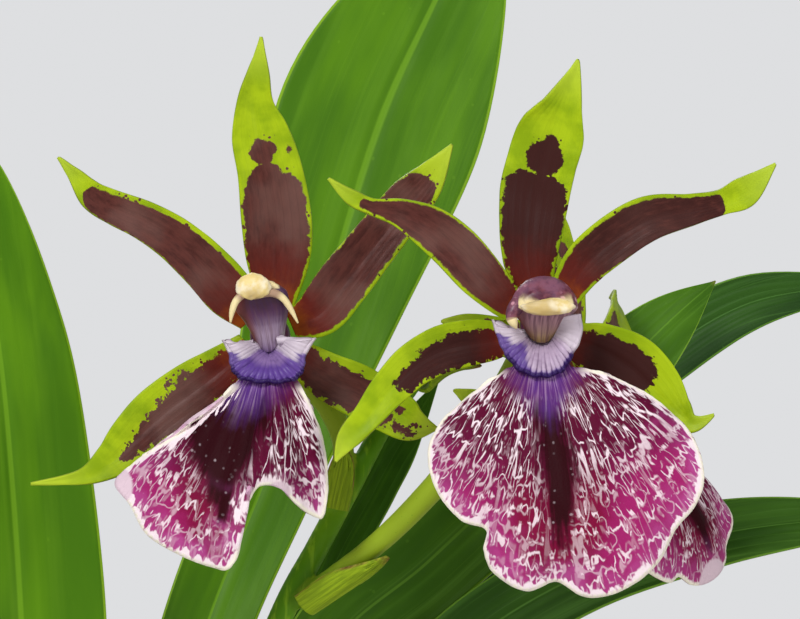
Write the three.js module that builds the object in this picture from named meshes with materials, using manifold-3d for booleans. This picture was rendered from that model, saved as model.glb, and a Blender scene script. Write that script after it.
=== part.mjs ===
// A potted Galeopetalum orchid: three blooms on one flower stem over strap leaves, pseudobulbs in bark,
// and a plain terracotta pot. Millimetres, +Z up, origin at the centre of the pot's flat underside.
// The two open blooms face -Y, the third one faces right behind them.
import * as THREE from "three";
import { mergeVertices } from "three/addons/utils/BufferGeometryUtils.js";
import Module from "manifold-3d";

const wasm = await Module();
wasm.setup();

// Clearance between neighbouring pieces, the thickness of flower and leaf tissue, and how many rows and
// columns of faces each kind of blade has
const clearance = 0.3;
const petalThickness = 0.9;
const leafThickness = 0.9;
const grid = {
  leaf: [11, 4],
  tepal: [8, 4],
  lip: [5, 24],
  callus: [2, 33],
  bract: [6, 4],
  sheath: [5, 6],
};

// Pot
const potHeight = 130;
const potBaseRadius = 55;
const potTopRadius = 75;
const potWall = 4.5;
const potFloor = 6;
const rimHeight = 22;
const rimStep = 3;
const drainHoleRadius = 5;
const drainHoleCircle = 30;
const drainHoleCount = 4;
const drainHoleSides = 16;
const potSides = 40;

// Bark mix, and the chips that stand out of its top
const mixEdgeHeight = 114;
const mixCrownHeight = 118;
const mixShoulder = { radius: 44, rise: 2.5 };
const chipCount = 13;
const chipSeed = 7;
const chipReach = 60;
const chipSink = 1.2;
const chipTilt = 0.25;
const chipLeast = [5, 4, 5];
const chipSpread = [6, 4, 2];

// Pseudobulbs: where each one stands, and the azimuths of its leaves in degrees from +X
const bulbBottom = 108;
const bulbTop = 178;
const bulbProfile = [5, 10.5, 13.2, 13.6, 12.6, 10.8, 8.8, 6.9];
const bulbSteps = 8;
const bulbSides = 12;
const bulbs = [
  { name: "front_left", x: -10, y: -16, sheathAzimuth: 250 },
  { name: "right", x: 22, y: -8, sheathAzimuth: 330 },
  { name: "back_right", x: 14, y: 26, sheathAzimuth: 40 },
  { name: "back_left", x: -20, y: 18, sheathAzimuth: 160 },
];
const leafRingRadius = 5;
const leafArc = 46;
const leafFootRises = [0, 6, 15];
const leafFootLean = 0.6;
const leafFootSpread = 1.25;

// Papery sheath round a bulb: stations up the bulb as shares of its height, its width there, its arc in
// degrees from its middle to its edge, and how far it stands off the bulb
const sheathStations = [0.24, 0.36, 0.48, 0.6, 0.72, 0.82];
const sheathTaper = [1, 1, 1, 1, 0.75, 0.1];
const sheathArc = 62;
const sheathOffset = 1.2;
const sheathFlare = 1.2;
const sheathThickness = 0.7;

// Rhizome, roots and flower stem: radii along each, and how many steps and sides each has
const stemSteps = { rhizome: 14, root: 7, rachis: 22, pedicel: 14 };
const stemSides = { rhizome: 8, root: 5, rachis: 8, pedicel: 8 };
const rhizomeRadii = [4, 5, 5, 5, 4.6, 5, 5, 5, 4];
const rootRadii = [2, 1.9, 1.8, 1.7, 1.5, 1.2];
const rachisRadii = [3, 2.9, 2.7, 2.5, 2.3, 2.1, 2, 1.9, 1.7, 1.6, 1.6, 1.7];
const pedicelRadii = { foot: 1.6, below: 2.5, ovary: [2.6, 3, 3.4, 3] };

// Colours
const colour = {
  terracotta: 0xb5673f,
  bark: 0x5a3d28,
  root: 0xb9ad93,
  bulb: 0x7c9440,
  sheath: 0xb59d6c,
  leaf: 0x3f7a16,
  darkLeaf: 0x2b5015,
  stem: 0x4f8a12,
  bract: 0x8a981c,
  tepal: 0x4a2018,
  lip: 0x9b2a6e,
  callus: 0x8f78b8,
  column: 0x6d4256,
  cap: 0xefe0a8,
};

const group = new THREE.Group();

// Curves through evenly spaced control values

function along(values, t) {
  const last = values.length - 1;
  const place = Math.min(Math.max(t, 0), 1) * last;
  const i = Math.min(Math.floor(place), last - 1);
  const f = place - i;
  const a = values[Math.max(i - 1, 0)];
  const b = values[i];
  const c = values[i + 1];
  const d = values[Math.min(i + 2, last)];
  const bend = 2 * a - 5 * b + 4 * c - d + f * (3 * (b - c) + d - a);
  return b + (f / 2) * (c - a + f * bend);
}

function placeAlong(points, t) {
  const [x, y, z] = [0, 1, 2].map((axis) => along(points.map((p) => p[axis]), t));
  return new THREE.Vector3(x, y, z);
}

function directionAlong(points, t) {
  const step = 0.01;
  return placeAlong(points, t + step).sub(placeAlong(points, t - step)).normalize();
}

// The part of a vector that stands square on a direction, at unit length
function squareTo(vector, direction) {
  return vector.clone().addScaledVector(direction, -vector.dot(direction)).normalize();
}

// Closed solids from points and triangles

function closedGeometry(points, triangles) {
  let volume = 0;
  for (const [a, b, c] of triangles) {
    volume += points[a].dot(points[b].clone().cross(points[c]));
  }
  const order = volume < 0 ? triangles.map(([a, b, c]) => [a, c, b]) : triangles;
  const geometry = new THREE.BufferGeometry().setFromPoints(points);
  geometry.setIndex(order.flat());
  return geometry;
}

// A sheet of even thickness round surface(t, u), with t from 0 to 1 and u from -1 to 1
function sheetGeometry(surface, [rows, columns], thickness) {
  const middle = [];
  for (let i = 0; i <= rows; i += 1) {
    for (let j = 0; j <= columns; j += 1) {
      middle.push(surface(i / rows, (2 * j) / columns - 1));
    }
  }
  const at = (i, j) => i * (columns + 1) + j;
  const normals = [];
  for (let i = 0; i <= rows; i += 1) {
    for (let j = 0; j <= columns; j += 1) {
      const alongBlade = middle[at(Math.min(i + 1, rows), j)].clone().sub(middle[at(Math.max(i - 1, 0), j)]);
      const across = middle[at(i, Math.min(j + 1, columns))].clone().sub(middle[at(i, Math.max(j - 1, 0))]);
      normals.push(across.cross(alongBlade).normalize());
    }
  }
  const half = thickness / 2;
  const front = middle.map((p, k) => p.clone().addScaledVector(normals[k], half));
  const back = middle.map((p, k) => p.clone().addScaledVector(normals[k], -half));
  const behind = middle.length;
  const triangles = [];
  for (let i = 0; i < rows; i += 1) {
    for (let j = 0; j < columns; j += 1) {
      const [a, b, c, d] = [at(i, j), at(i, j + 1), at(i + 1, j), at(i + 1, j + 1)];
      triangles.push([a, b, d], [a, d, c]);
      triangles.push([behind + a, behind + d, behind + b], [behind + a, behind + c, behind + d]);
    }
  }
  const edge = [];
  for (let j = 0; j < columns; j += 1) edge.push(at(0, j));
  for (let i = 0; i < rows; i += 1) edge.push(at(i, columns));
  for (let j = columns; j > 0; j -= 1) edge.push(at(rows, j));
  for (let i = rows; i > 0; i -= 1) edge.push(at(i, 0));
  edge.forEach((a, k) => {
    const b = edge[(k + 1) % edge.length];
    triangles.push([a, behind + b, b], [a, behind + a, behind + b]);
  });
  return closedGeometry([...front, ...back], triangles);
}

// A closed skin over a row of rings with equal numbers of points
function loftGeometry(rings) {
  const sides = rings[0].length;
  const points = rings.flat();
  const triangles = [];
  for (let i = 0; i < rings.length - 1; i += 1) {
    for (let j = 0; j < sides; j += 1) {
      const next = (j + 1) % sides;
      const a = i * sides + j;
      const b = i * sides + next;
      triangles.push([a, b, b + sides], [a, b + sides, a + sides]);
    }
  }
  const end = (rings.length - 1) * sides;
  for (let j = 1; j < sides - 1; j += 1) {
    triangles.push([0, j + 1, j], [end, end + j, end + j + 1]);
  }
  return closedGeometry(points, triangles);
}

// A round stem of changing radius along control points, made fuller and longer by the extra
function stemGeometry(points, radii, steps, sides, extra = 0) {
  let side = new THREE.Vector3(0, 1, 0);
  const rings = [];
  for (let i = 0; i <= steps; i += 1) {
    const t = i / steps;
    const forward = directionAlong(points, t);
    const longer = (i === steps ? extra : 0) - (i === 0 ? extra : 0);
    const centre = placeAlong(points, t).addScaledVector(forward, longer);
    side = squareTo(side, forward);
    const up = forward.clone().cross(side);
    const radius = along(radii, t) + extra;
    const ring = [];
    for (let j = 0; j < sides; j += 1) {
      const angle = (2 * Math.PI * j) / sides;
      const out = side.clone().multiplyScalar(Math.cos(angle)).addScaledVector(up, Math.sin(angle));
      ring.push(centre.clone().addScaledVector(out, radius));
    }
    rings.push(ring);
  }
  return loftGeometry(rings);
}

// Blades: leaves, tepals, bracts and sheaths. A blade is cupped towards its face by the curl, in degrees
// from its midrib to its edge, and turned about its midrib by the turn, in degrees.

function bladeSurface(blade) {
  const { path, half, curl = [0, 0], turn = [0, 0], face = [[0, -1, 0], [0, -1, 0]] } = blade;
  const { wave = 0, waves = 2.5 } = blade;
  return (t, u) => {
    const forward = directionAlong(path, t);
    const twist = THREE.MathUtils.degToRad(along(turn, t));
    const normal = squareTo(placeAlong(face, t), forward).applyAxisAngle(forward, twist);
    const side = forward.clone().cross(normal);
    const width = along(half, t);
    const bend = THREE.MathUtils.degToRad(Math.max(along(curl, t), 0.5));
    const sideways = (width * Math.sin(u * bend)) / bend;
    const phase = u > 0 ? 0 : 2;
    const ripple = wave * t * u * u * Math.sin(2 * Math.PI * waves * t + phase);
    const lift = (width * (1 - Math.cos(u * bend))) / bend + ripple;
    return placeAlong(path, t).addScaledVector(side, sideways).addScaledVector(normal, lift);
  };
}

function bladeGeometry(blade, rowsAndColumns, thickness) {
  return sheetGeometry(bladeSurface(blade), rowsAndColumns, thickness);
}

// Joining and cutting

function solidOf(geometry) {
  const bare = geometry.clone();
  bare.deleteAttribute("normal");
  bare.deleteAttribute("uv");
  const merged = mergeVertices(bare, 1e-4);
  return new wasm.Manifold(
    new wasm.Mesh({
      numProp: 3,
      vertProperties: merged.attributes.position.array,
      triVerts: new Uint32Array(merged.index.array),
    }),
  );
}

function geometryOf(solid) {
  const mesh = solid.getMesh();
  const geometry = new THREE.BufferGeometry();
  geometry.setAttribute("position", new THREE.BufferAttribute(mesh.vertProperties, 3));
  geometry.setIndex(new THREE.BufferAttribute(mesh.triVerts, 1));
  return geometry;
}

function joined(geometries) {
  return geometries.map(solidOf).reduce((whole, piece) => whole.add(piece));
}

function finish(tone, roughness) {
  return new THREE.MeshStandardMaterial({ color: tone, roughness, metalness: 0 });
}

function addPiece(name, geometry, tone, roughness, parent = group) {
  const mesh = new THREE.Mesh(geometry, finish(tone, roughness));
  mesh.name = name;
  parent.add(mesh);
}

// Seeded random numbers from 0 to 1
function randomSource(seed) {
  let state = seed;
  return () => {
    state = (state * 1664525 + 1013904223) % 4294967296;
    return state / 4294967296;
  };
}

// The pot, with drain holes round the middle of its floor

function wallRadius(height, inset) {
  return potBaseRadius + ((potTopRadius - rimStep - potBaseRadius) * height) / potHeight - inset;
}

function turned(profile) {
  const geometry = new THREE.LatheGeometry(
    profile.map(([radius, height]) => new THREE.Vector2(radius, height)),
    potSides,
  );
  return geometry.rotateX(Math.PI / 2);
}

function makePot() {
  const rimBottom = potHeight - rimHeight;
  const shell = turned([
    [0, 0],
    [potBaseRadius, 0],
    [wallRadius(rimBottom, 0), rimBottom],
    [wallRadius(rimBottom, 0) + rimStep, rimBottom],
    [potTopRadius, potHeight],
    [wallRadius(potHeight, potWall), potHeight],
    [wallRadius(potFloor, potWall), potFloor],
    [0, potFloor],
  ]);
  let pot = solidOf(shell);
  for (let i = 0; i < drainHoleCount; i += 1) {
    const angle = (2 * Math.PI * (i + 0.5)) / drainHoleCount;
    const hole = new THREE.CylinderGeometry(drainHoleRadius, drainHoleRadius, 3 * potFloor, drainHoleSides);
    hole.rotateX(Math.PI / 2);
    hole.translate(drainHoleCircle * Math.cos(angle), drainHoleCircle * Math.sin(angle), 0);
    pot = pot.subtract(solidOf(hole));
  }
  addPiece("pot", geometryOf(pot), colour.terracotta, 0.85);
}

// Pseudobulbs: egg-shaped, flat on top where the leaves stand

function bulbGeometry(bulb, extra = 0) {
  const profile = [[0, bulbBottom - extra]];
  for (let i = 0; i <= bulbSteps; i += 1) {
    const height = bulbBottom + ((bulbTop - bulbBottom) * i) / bulbSteps;
    const sunk = i === 0 ? extra : 0;
    profile.push([along(bulbProfile, i / bulbSteps) + extra, height - sunk]);
  }
  profile.push([0, bulbTop]);
  const geometry = new THREE.LatheGeometry(
    profile.map(([radius, height]) => new THREE.Vector2(radius, height)),
    bulbSides,
  );
  return geometry.rotateX(Math.PI / 2).translate(bulb.x, bulb.y, 0);
}

// The rhizome creeps from bulb to bulb, half sunk, with roots over the bark

const rhizomePath = [
  [-24, 30, 108],
  [-20, 18, 106],
  [-16, 2, 106],
  [-10, -16, 106],
  [6, -14, 105],
  [22, -8, 106],
  [22, 10, 106],
  [14, 26, 106],
  [10, 36, 108],
];
const rootPaths = [
  [[-12, -18, 105], [-21, -26, 109], [-31, -32, 117.6], [-41, -35, 117], [-47, -36, 111], [-49, -37, 104]],
  [[-18, 6, 106], [-27, 5, 110], [-36, 3, 117.8], [-46, -3, 117.2], [-54, -6, 112], [-57, -6, 104]],
  [[23, 2, 106], [32, 5, 110], [41, 9, 118], [50, 13, 116.4], [56, 15, 111], [58, 15.5, 104]],
  [[-6, -17, 105], [-5, -26, 109], [-8, -36, 118], [-15, -46, 117.4], [-14, -54, 112], [-14, -57, 104]],
  [[11, 33, 106], [6, 42, 111], [0, 48, 117.5], [-7, 53, 115.5], [-11, 56, 111], [-11, 58, 104]],
];

function rhizomeParts(extra) {
  const stem = stemGeometry(rhizomePath, rhizomeRadii, stemSteps.rhizome, stemSides.rhizome, extra);
  const roots = rootPaths.map((path) => {
    return stemGeometry(path, rootRadii, stemSteps.root, stemSides.root, extra);
  });
  return joined([stem, ...roots]);
}

function withoutBulbs(solid) {
  return bulbs.reduce((rest, bulb) => rest.subtract(solidOf(bulbGeometry(bulb, clearance))), solid);
}

// The main body of a solid, without scraps that a cut left loose
function mainBody(solid) {
  return solid.decompose().sort((a, b) => b.volume() - a.volume())[0];
}

function makeRhizome() {
  const rhizome = mainBody(withoutBulbs(rhizomeParts(0)));
  addPiece("rhizome_and_roots", geometryOf(rhizome), colour.root, 0.8);
}

// Bark mix: a filled body with seeded chips on top, cut clear of all that grows in it

function chipGeometry(random) {
  const size = chipLeast.map((least, axis) => least + chipSpread[axis] * random());
  const chip = new THREE.BoxGeometry(...size);
  chip.rotateZ(2 * Math.PI * random());
  chip.rotateX(chipTilt * (2 * random() - 1));
  chip.rotateY(chipTilt * (2 * random() - 1));
  const reach = chipReach * Math.sqrt(random());
  const angle = 2 * Math.PI * random();
  const edgeRadius = wallRadius(mixEdgeHeight, potWall);
  const level = mixCrownHeight - ((mixCrownHeight - mixEdgeHeight) * reach) / edgeRadius - chipSink;
  return chip.translate(reach * Math.cos(angle), reach * Math.sin(angle), level);
}

function makeMix() {
  const gap = potWall + 1.5 * clearance;
  const bottom = potFloor + clearance;
  const body = turned([
    [0, bottom],
    [wallRadius(bottom, gap), bottom],
    [wallRadius(mixEdgeHeight, gap), mixEdgeHeight],
    [mixShoulder.radius, mixEdgeHeight + mixShoulder.rise],
    [0, mixCrownHeight],
  ]);
  const random = randomSource(chipSeed);
  const chips = Array.from({ length: chipCount }, () => chipGeometry(random));
  const filled = withoutBulbs(joined([body, ...chips]));
  const mix = filled.subtract(rhizomeParts(clearance)).subtract(solidOf(scapeGeometry(clearance)));
  addPiece("bark_mix", geometryOf(mainBody(mix)), colour.bark, 0.95);
}

function makeBulbs() {
  for (const bulb of bulbs) {
    addPiece(`pseudobulb_${bulb.name}`, bulbGeometry(bulb), colour.bulb, 0.45);
    addPiece(`bulb_sheath_${bulb.name}`, bulbSheathGeometry(bulb), colour.sheath, 0.8);
  }
}

// A papery sheath hugs each bulb on one side
function bulbSheathGeometry(bulb) {
  const azimuth = THREE.MathUtils.degToRad(bulb.sheathAzimuth);
  const out = [Math.cos(azimuth), Math.sin(azimuth)];
  const path = [];
  const half = [];
  sheathStations.forEach((station, i) => {
    const radius = along(bulbProfile, station) + sheathOffset;
    const flare = i === sheathStations.length - 1 ? sheathFlare : 0;
    const height = bulbBottom + (bulbTop - bulbBottom) * station;
    path.push([bulb.x + out[0] * (radius + flare), bulb.y + out[1] * (radius + flare), height]);
    half.push(radius * THREE.MathUtils.degToRad(sheathArc) * sheathTaper[i]);
  });
  const inward = [-out[0], -out[1], 0];
  const curl = sheathTaper.map((taper) => sheathArc * taper);
  return bladeGeometry({ path, half, curl, face: [inward, inward] }, grid.sheath, sheathThickness);
}

// Leaves. Each one stands as a channel on its bulb and opens into a strap.

const leaves = [
  {
    name: "leaf_left_tall",
    bulb: bulbs[0],
    azimuth: 140,
    tone: colour.leaf,
    path: [[-15, -19, 215], [-16, -27, 248], [-16.5, -30, 277], [-19, -30, 312], [-21.5, -30, 332],
      [-24.5, -31, 351], [-28, -32, 365]],
    half: [9, 13, 14.5, 13, 10.5, 6, 0.4],
    curl: [30, 16, 10, 8, 8, 10, 12],
    face: [0.15, -1, 0],
  },
  {
    name: "leaf_centre_tall",
    bulb: bulbs[0],
    azimuth: 10,
    tone: colour.leaf,
    path: [[4, -10, 208], [8, -10, 235], [12.5, -8, 269], [24.7, 0, 301.7], [34.5, 8, 331.7], [44.6, 14, 364],
      [56, 18, 389.3], [64.2, 20, 410.2]],
    half: [8, 9, 8, 9.5, 14, 18.6, 12, 0.4],
    curl: [35, 30, 26, 14, 8, 6, 6, 10],
    face: [0, -1, 0.1],
  },
  {
    name: "leaf_front_low",
    bulb: bulbs[0],
    azimuth: 248,
    tone: colour.leaf,
    path: [[-24, -44, 205], [-36, -62, 220], [-52, -78, 226], [-68, -92, 218], [-82, -104, 198],
      [-90, -110, 176]],
    half: [8, 10.5, 12, 11, 7.5, 0.4],
    curl: [24, 16, 12, 12, 14, 12],
    face: [0.2, -0.1, 1],
  },
  {
    name: "leaf_behind_stem",
    bulb: bulbs[1],
    azimuth: 100,
    tone: colour.darkLeaf,
    path: [[24, 16, 215], [28, 24, 250], [34.3, 30, 278.8], [43.4, 30, 297], [48, 30, 305.3], [55, 30, 317]],
    half: [7, 6, 4.4, 4, 3.4, 0.4],
    curl: [34, 28, 24, 20, 16, 10],
    face: [0, -1, 0.1],
  },
  {
    name: "leaf_right_long",
    bulb: bulbs[1],
    azimuth: 220,
    tone: colour.darkLeaf,
    path: [[22, -15, 214], [28, -16, 246], [35.9, -15, 271], [53.2, -12, 286.4], [74.2, -8, 306.3],
      [92.8, -4, 325.5], [103.6, 0, 335]],
    half: [6.5, 7.5, 8.2, 9, 9.6, 6, 0.4],
    curl: [34, 26, 20, 16, 14, 14, 10],
    face: [0, -1, 0.15],
  },
  {
    name: "leaf_right_low",
    bulb: bulbs[1],
    azimuth: 340,
    tone: colour.darkLeaf,
    path: [[36, -16, 214], [45, -19, 247], [56, -20, 268.7], [77.3, -20, 283.4], [101.4, -20, 291],
      [122, -20, 293.7], [134, -20, 292.8]],
    half: [7, 7.2, 7, 7, 6, 3.5, 0.4],
    curl: [34, 26, 20, 18, 18, 18, 10],
    face: [0, -1, 0.3],
  },
  {
    name: "leaf_right_back",
    bulb: bulbs[2],
    azimuth: 345,
    tone: colour.darkLeaf,
    path: [[32, 27, 215], [44, 25, 252], [58, 22, 284], [76.9, 20, 308], [93, 20, 320.5], [112, 20, 331.5],
      [138, 20, 335]],
    half: [6.5, 7.5, 7.4, 6.8, 6.4, 5, 0.4],
    curl: [34, 26, 20, 18, 18, 18, 10],
    face: [0, -1, 0.2],
  },
  {
    name: "leaf_back_right",
    bulb: bulbs[2],
    azimuth: 95,
    tone: colour.leaf,
    path: [[22, 50, 216], [36, 70, 244], [54, 92, 258], [70, 110, 256], [82, 124, 240], [88, 130, 222]],
    half: [8, 10, 11.5, 10.5, 7, 0.4],
    curl: [24, 16, 12, 12, 14, 12],
    face: [-0.3, -0.2, 1],
  },
  {
    name: "leaf_left_upright",
    bulb: bulbs[3],
    azimuth: 162,
    tone: colour.leaf,
    path: [[-42, 22, 212], [-52, 24, 248], [-60, 26, 288], [-66, 27, 324], [-74, 28, 352], [-82, 29, 370]],
    half: [8, 11, 12.5, 11.5, 7.5, 0.4],
    curl: [30, 20, 14, 12, 12, 12],
    face: [0.6, -1, 0.2],
  },
  {
    name: "leaf_left_arching",
    bulb: bulbs[3],
    azimuth: 262,
    tone: colour.leaf,
    path: [[-46, -2, 208], [-68, -12, 236], [-94, -20, 254], [-118, -26, 250], [-136, -30, 232],
      [-144, -31, 212]],
    half: [8, 10.5, 12, 11, 7, 0.4],
    curl: [24, 16, 12, 12, 14, 12],
    face: [0.3, -0.2, 1],
  },
  {
    name: "leaf_back_left",
    bulb: bulbs[3],
    azimuth: 60,
    tone: colour.leaf,
    path: [[-30, 46, 212], [-46, 66, 244], [-64, 86, 268], [-82, 104, 276], [-98, 120, 266],
      [-106, 128, 250]],
    half: [8, 10.5, 12, 11, 7, 0.4],
    curl: [24, 16, 12, 12, 14, 12],
    face: [0.3, -0.3, 1],
  },
];

// The foot of a leaf: an arc on the bulb's flat top that turns towards the leaf's own face as it rises
function leafBlade(leaf) {
  const azimuth = THREE.MathUtils.degToRad(leaf.azimuth);
  const [outX, outY] = [Math.cos(azimuth), Math.sin(azimuth)];
  const foot = leafFootRises.map((rise, i) => {
    const reach = leafRingRadius + leafFootLean * i * i;
    return [leaf.bulb.x + outX * reach, leaf.bulb.y + outY * reach, bulbTop + clearance + rise];
  });
  const footHalf = leafRingRadius * THREE.MathUtils.degToRad(leafArc);
  const inward = [-outX, -outY, 0];
  const between = new THREE.Vector3(...inward).lerp(new THREE.Vector3(...leaf.face), 0.4).toArray();
  return {
    path: [...foot, ...leaf.path],
    half: [footHalf, footHalf, footHalf * leafFootSpread, ...leaf.half],
    curl: [leafArc, leafArc, leafArc, ...leaf.curl],
    face: [inward, inward, between, between, leaf.face, leaf.face, leaf.face, leaf.face, leaf.face],
  };
}

function makeLeaves() {
  for (const leaf of leaves) {
    addPiece(leaf.name, bladeGeometry(leafBlade(leaf), grid.leaf, leafThickness), leaf.tone, 0.35);
  }
}

// Blooms. Each one has its own frame: x to its right, z up, and its face towards -y. Sepals stand in a
// back layer and petals in a front layer, round the round seat at the end of the ovary.

const tepalWave = 0.35;
const seatStations = [8, 4, 1, -2.6];
const bloomSeats = {
  right: { centre: [70.6, -75, 327.5], pitch: 0, yaw: 0 },
  left: { centre: [26.7, -62, 325.8], pitch: 0, yaw: 0 },
  back: { centre: [78.4, -38, 315.8], pitch: -11, yaw: 50 },
};

const rightBloomTepals = {
  dorsal_sepal: {
    path: [[0, 1.2, 3.9], [-1.6, 1.2, 10.5], [-1, 1.6, 20], [0.2, 1, 26], [2, 0, 31.5], [3.9, -1.2, 36.5],
      [6.1, -2.6, 42.7]],
    half: [2.4, 4.4, 5.7, 5.7, 5.4, 2.9, 0.4],
    curl: [4, 12, 22, 18, 18, 28, 20],
    turn: [0, 0, 0, 0, 0, 10, 25],
  },
  petal_right: {
    path: [[2.9, -1.2, 2.9], [6.3, -1.6, 8.8], [10.5, -2.4, 12.9], [17, -2.6, 17], [24.2, -2.2, 18.6],
      [29, -2.4, 19.7], [33, -3.4, 21.6], [37.6, -5, 25.8]],
    half: [2.2, 3.4, 3.9, 3.7, 2.6, 2.1, 2.5, 0.35],
    curl: [4, 10, 18, 22, 24, 24, 24, 20],
  },
  petal_left: {
    path: [[-3.2, -1.2, 2.2], [-6, -1.8, 4.2], [-9.7, -2.4, 8], [-13.7, -2.8, 12.4], [-17.9, -3, 15.7],
      [-22.6, -3, 18], [-27, -3.4, 19], [-30.6, -4.2, 20.6], [-34, -5.5, 23.5]],
    half: [2.2, 2.9, 3.8, 4, 3.6, 2.4, 1.4, 1.2, 0.35],
    curl: [4, 10, 18, 22, 24, 24, 24, 20, 20],
  },
  lateral_sepal_right: {
    path: [[3.7, 1.2, -1.3], [6.5, 1.4, -2.8], [10, 1.4, -4.2], [14.5, 1.2, -6.9], [18.5, 0.8, -10.8],
      [21.8, 0.2, -14.2], [24.6, -0.8, -15.8], [27.9, -2, -14.5]],
    half: [2.3, 3.4, 4.6, 5.5, 5, 3.2, 1.5, 0.35],
    curl: [4, 8, 14, 18, 20, 22, 22, 20],
  },
  lateral_sepal_left: {
    path: [[-3.7, 1.2, -1.3], [-7.5, 1.2, -2.4], [-11.5, 1, -2.9], [-16.1, 0.8, -4], [-20.6, 0.2, -6.6],
      [-24.5, -0.4, -10.5], [-27.8, -0.8, -14.6], [-31, -1, -18.4], [-33, -1.4, -22]],
    half: [2.3, 3.2, 3.8, 3.9, 3.6, 3.1, 2.4, 1.8, 0.4],
    curl: [4, 8, 14, 18, 20, 22, 22, 20, 20],
  },
};

const leftBloomTepals = {
  dorsal_sepal: {
    path: [[1, 1.2, 3.9], [1.3, 1.4, 12.1], [1.1, 1.4, 18.5], [0, 1, 26.6], [-1.6, 0.4, 33],
      [-2.4, -0.4, 37.9], [-1.9, -1.6, 42.7], [-1.3, -3, 48.7]],
    half: [2.6, 5.2, 5.9, 5.4, 4.8, 3.2, 1.9, 0.35],
    curl: [4, 12, 22, 18, 18, 24, 24, 20],
  },
  petal_left: {
    path: [[-3, -1.2, 2.6], [-6.3, -2, 6.6], [-10.5, -2.6, 11.3], [-15.3, -3, 15.6], [-20.2, -3, 18.6],
      [-25, -2.8, 20.7], [-28.7, -3, 22.7], [-31.5, -3.6, 25.8], [-34.4, -4.6, 29]],
    half: [2.4, 4.1, 4.1, 3.7, 3.3, 2.9, 2.4, 1.3, 0.35],
    curl: [4, 10, 18, 22, 24, 24, 24, 20, 20],
  },
  petal_right: {
    path: [[3.6, -1.2, 1.6], [8.2, -2, 3.8], [12.1, -2.4, 8.7], [16.1, -2.4, 13.7], [19.7, -2.2, 18.2],
      [22.9, -2, 22.1], [26, -2.4, 25.6], [29.8, -3.6, 31.1]],
    half: [2.4, 4, 4.4, 4.2, 4, 3.8, 2.8, 0.35],
    curl: [4, 10, 18, 22, 24, 24, 22, 20],
  },
  lateral_sepal_left: {
    path: [[-3.6, 1.2, -1.6], [-8.9, 1.2, -6.2], [-13.7, 1, -9.7], [-18.5, 0.6, -13.4], [-22.6, 0, -17.3],
      [-26.1, -0.6, -20.6], [-30.8, -1.4, -23.2], [-39, -3, -24.2]],
    half: [2.3, 4, 4.8, 4.8, 4.2, 3, 1.3, 0.35],
    curl: [4, 8, 14, 18, 20, 22, 22, 20],
  },
  lateral_sepal_right: {
    path: [[3.3, 1.2, -2.3], [6.2, 1.2, -4.6], [9.7, 1, -6.9], [14.5, 0.6, -9.2], [19.4, 0, -12.1],
      [23.4, -0.6, -14.5], [27.4, -1.6, -15.3]],
    half: [2.3, 3.2, 4, 4.4, 4, 3, 0.5],
    curl: [4, 8, 14, 18, 20, 22, 20],
  },
};

const backBloomTepals = {
  dorsal_sepal: {
    path: [[0, 1.2, 3.9], [1, 1.6, 11], [3, 2.6, 18], [5.5, 4, 25], [8, 5.6, 30.5], [10, 7.3, 34.7]],
    half: [2.3, 4.2, 5, 4.6, 2.8, 0.35],
    curl: [4, 12, 20, 18, 20, 20],
  },
  petal_right: {
    path: [[3.2, -1.2, 2.4], [8, -1, 7], [14, 1, 11], [20.5, 5, 14.5], [27, 10, 17.5], [33, 15.5, 19.5]],
    half: [2.2, 3.6, 4, 3.6, 2.4, 0.35],
    curl: [4, 12, 20, 22, 22, 20],
  },
  petal_left: {
    path: [[-3.2, -1.2, 2.4], [-7.5, -1.6, 5.5], [-12.5, -0.6, 8], [-18, 1, 10], [-23, 3, 12],
      [-28, 4.7, 13.5]],
    half: [2.2, 3.4, 3.8, 3.4, 2.4, 0.35],
    curl: [4, 12, 20, 22, 22, 20],
  },
  lateral_sepal_right: {
    path: [[3.7, 1.2, -1.5], [8.5, 1.8, -3.6], [14, 3.4, -5], [19.5, 5.8, -5.4], [25, 8.6, -4.8],
      [30, 11.4, -3.9]],
    half: [2.3, 3.8, 4.6, 4.2, 2.6, 0.35],
    curl: [4, 8, 14, 18, 20, 20],
  },
  lateral_sepal_left: {
    path: [[-3.7, 1.2, -1.5], [-9, 1.6, -3], [-14.5, 2, -3.4], [-20, 2.4, -2.6], [-25, 2.6, -0.8],
      [-30, 2.6, 1.5]],
    half: [2.3, 3.6, 4.2, 3.8, 2.4, 0.35],
    curl: [4, 8, 14, 18, 20, 20],
  },
};

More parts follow.
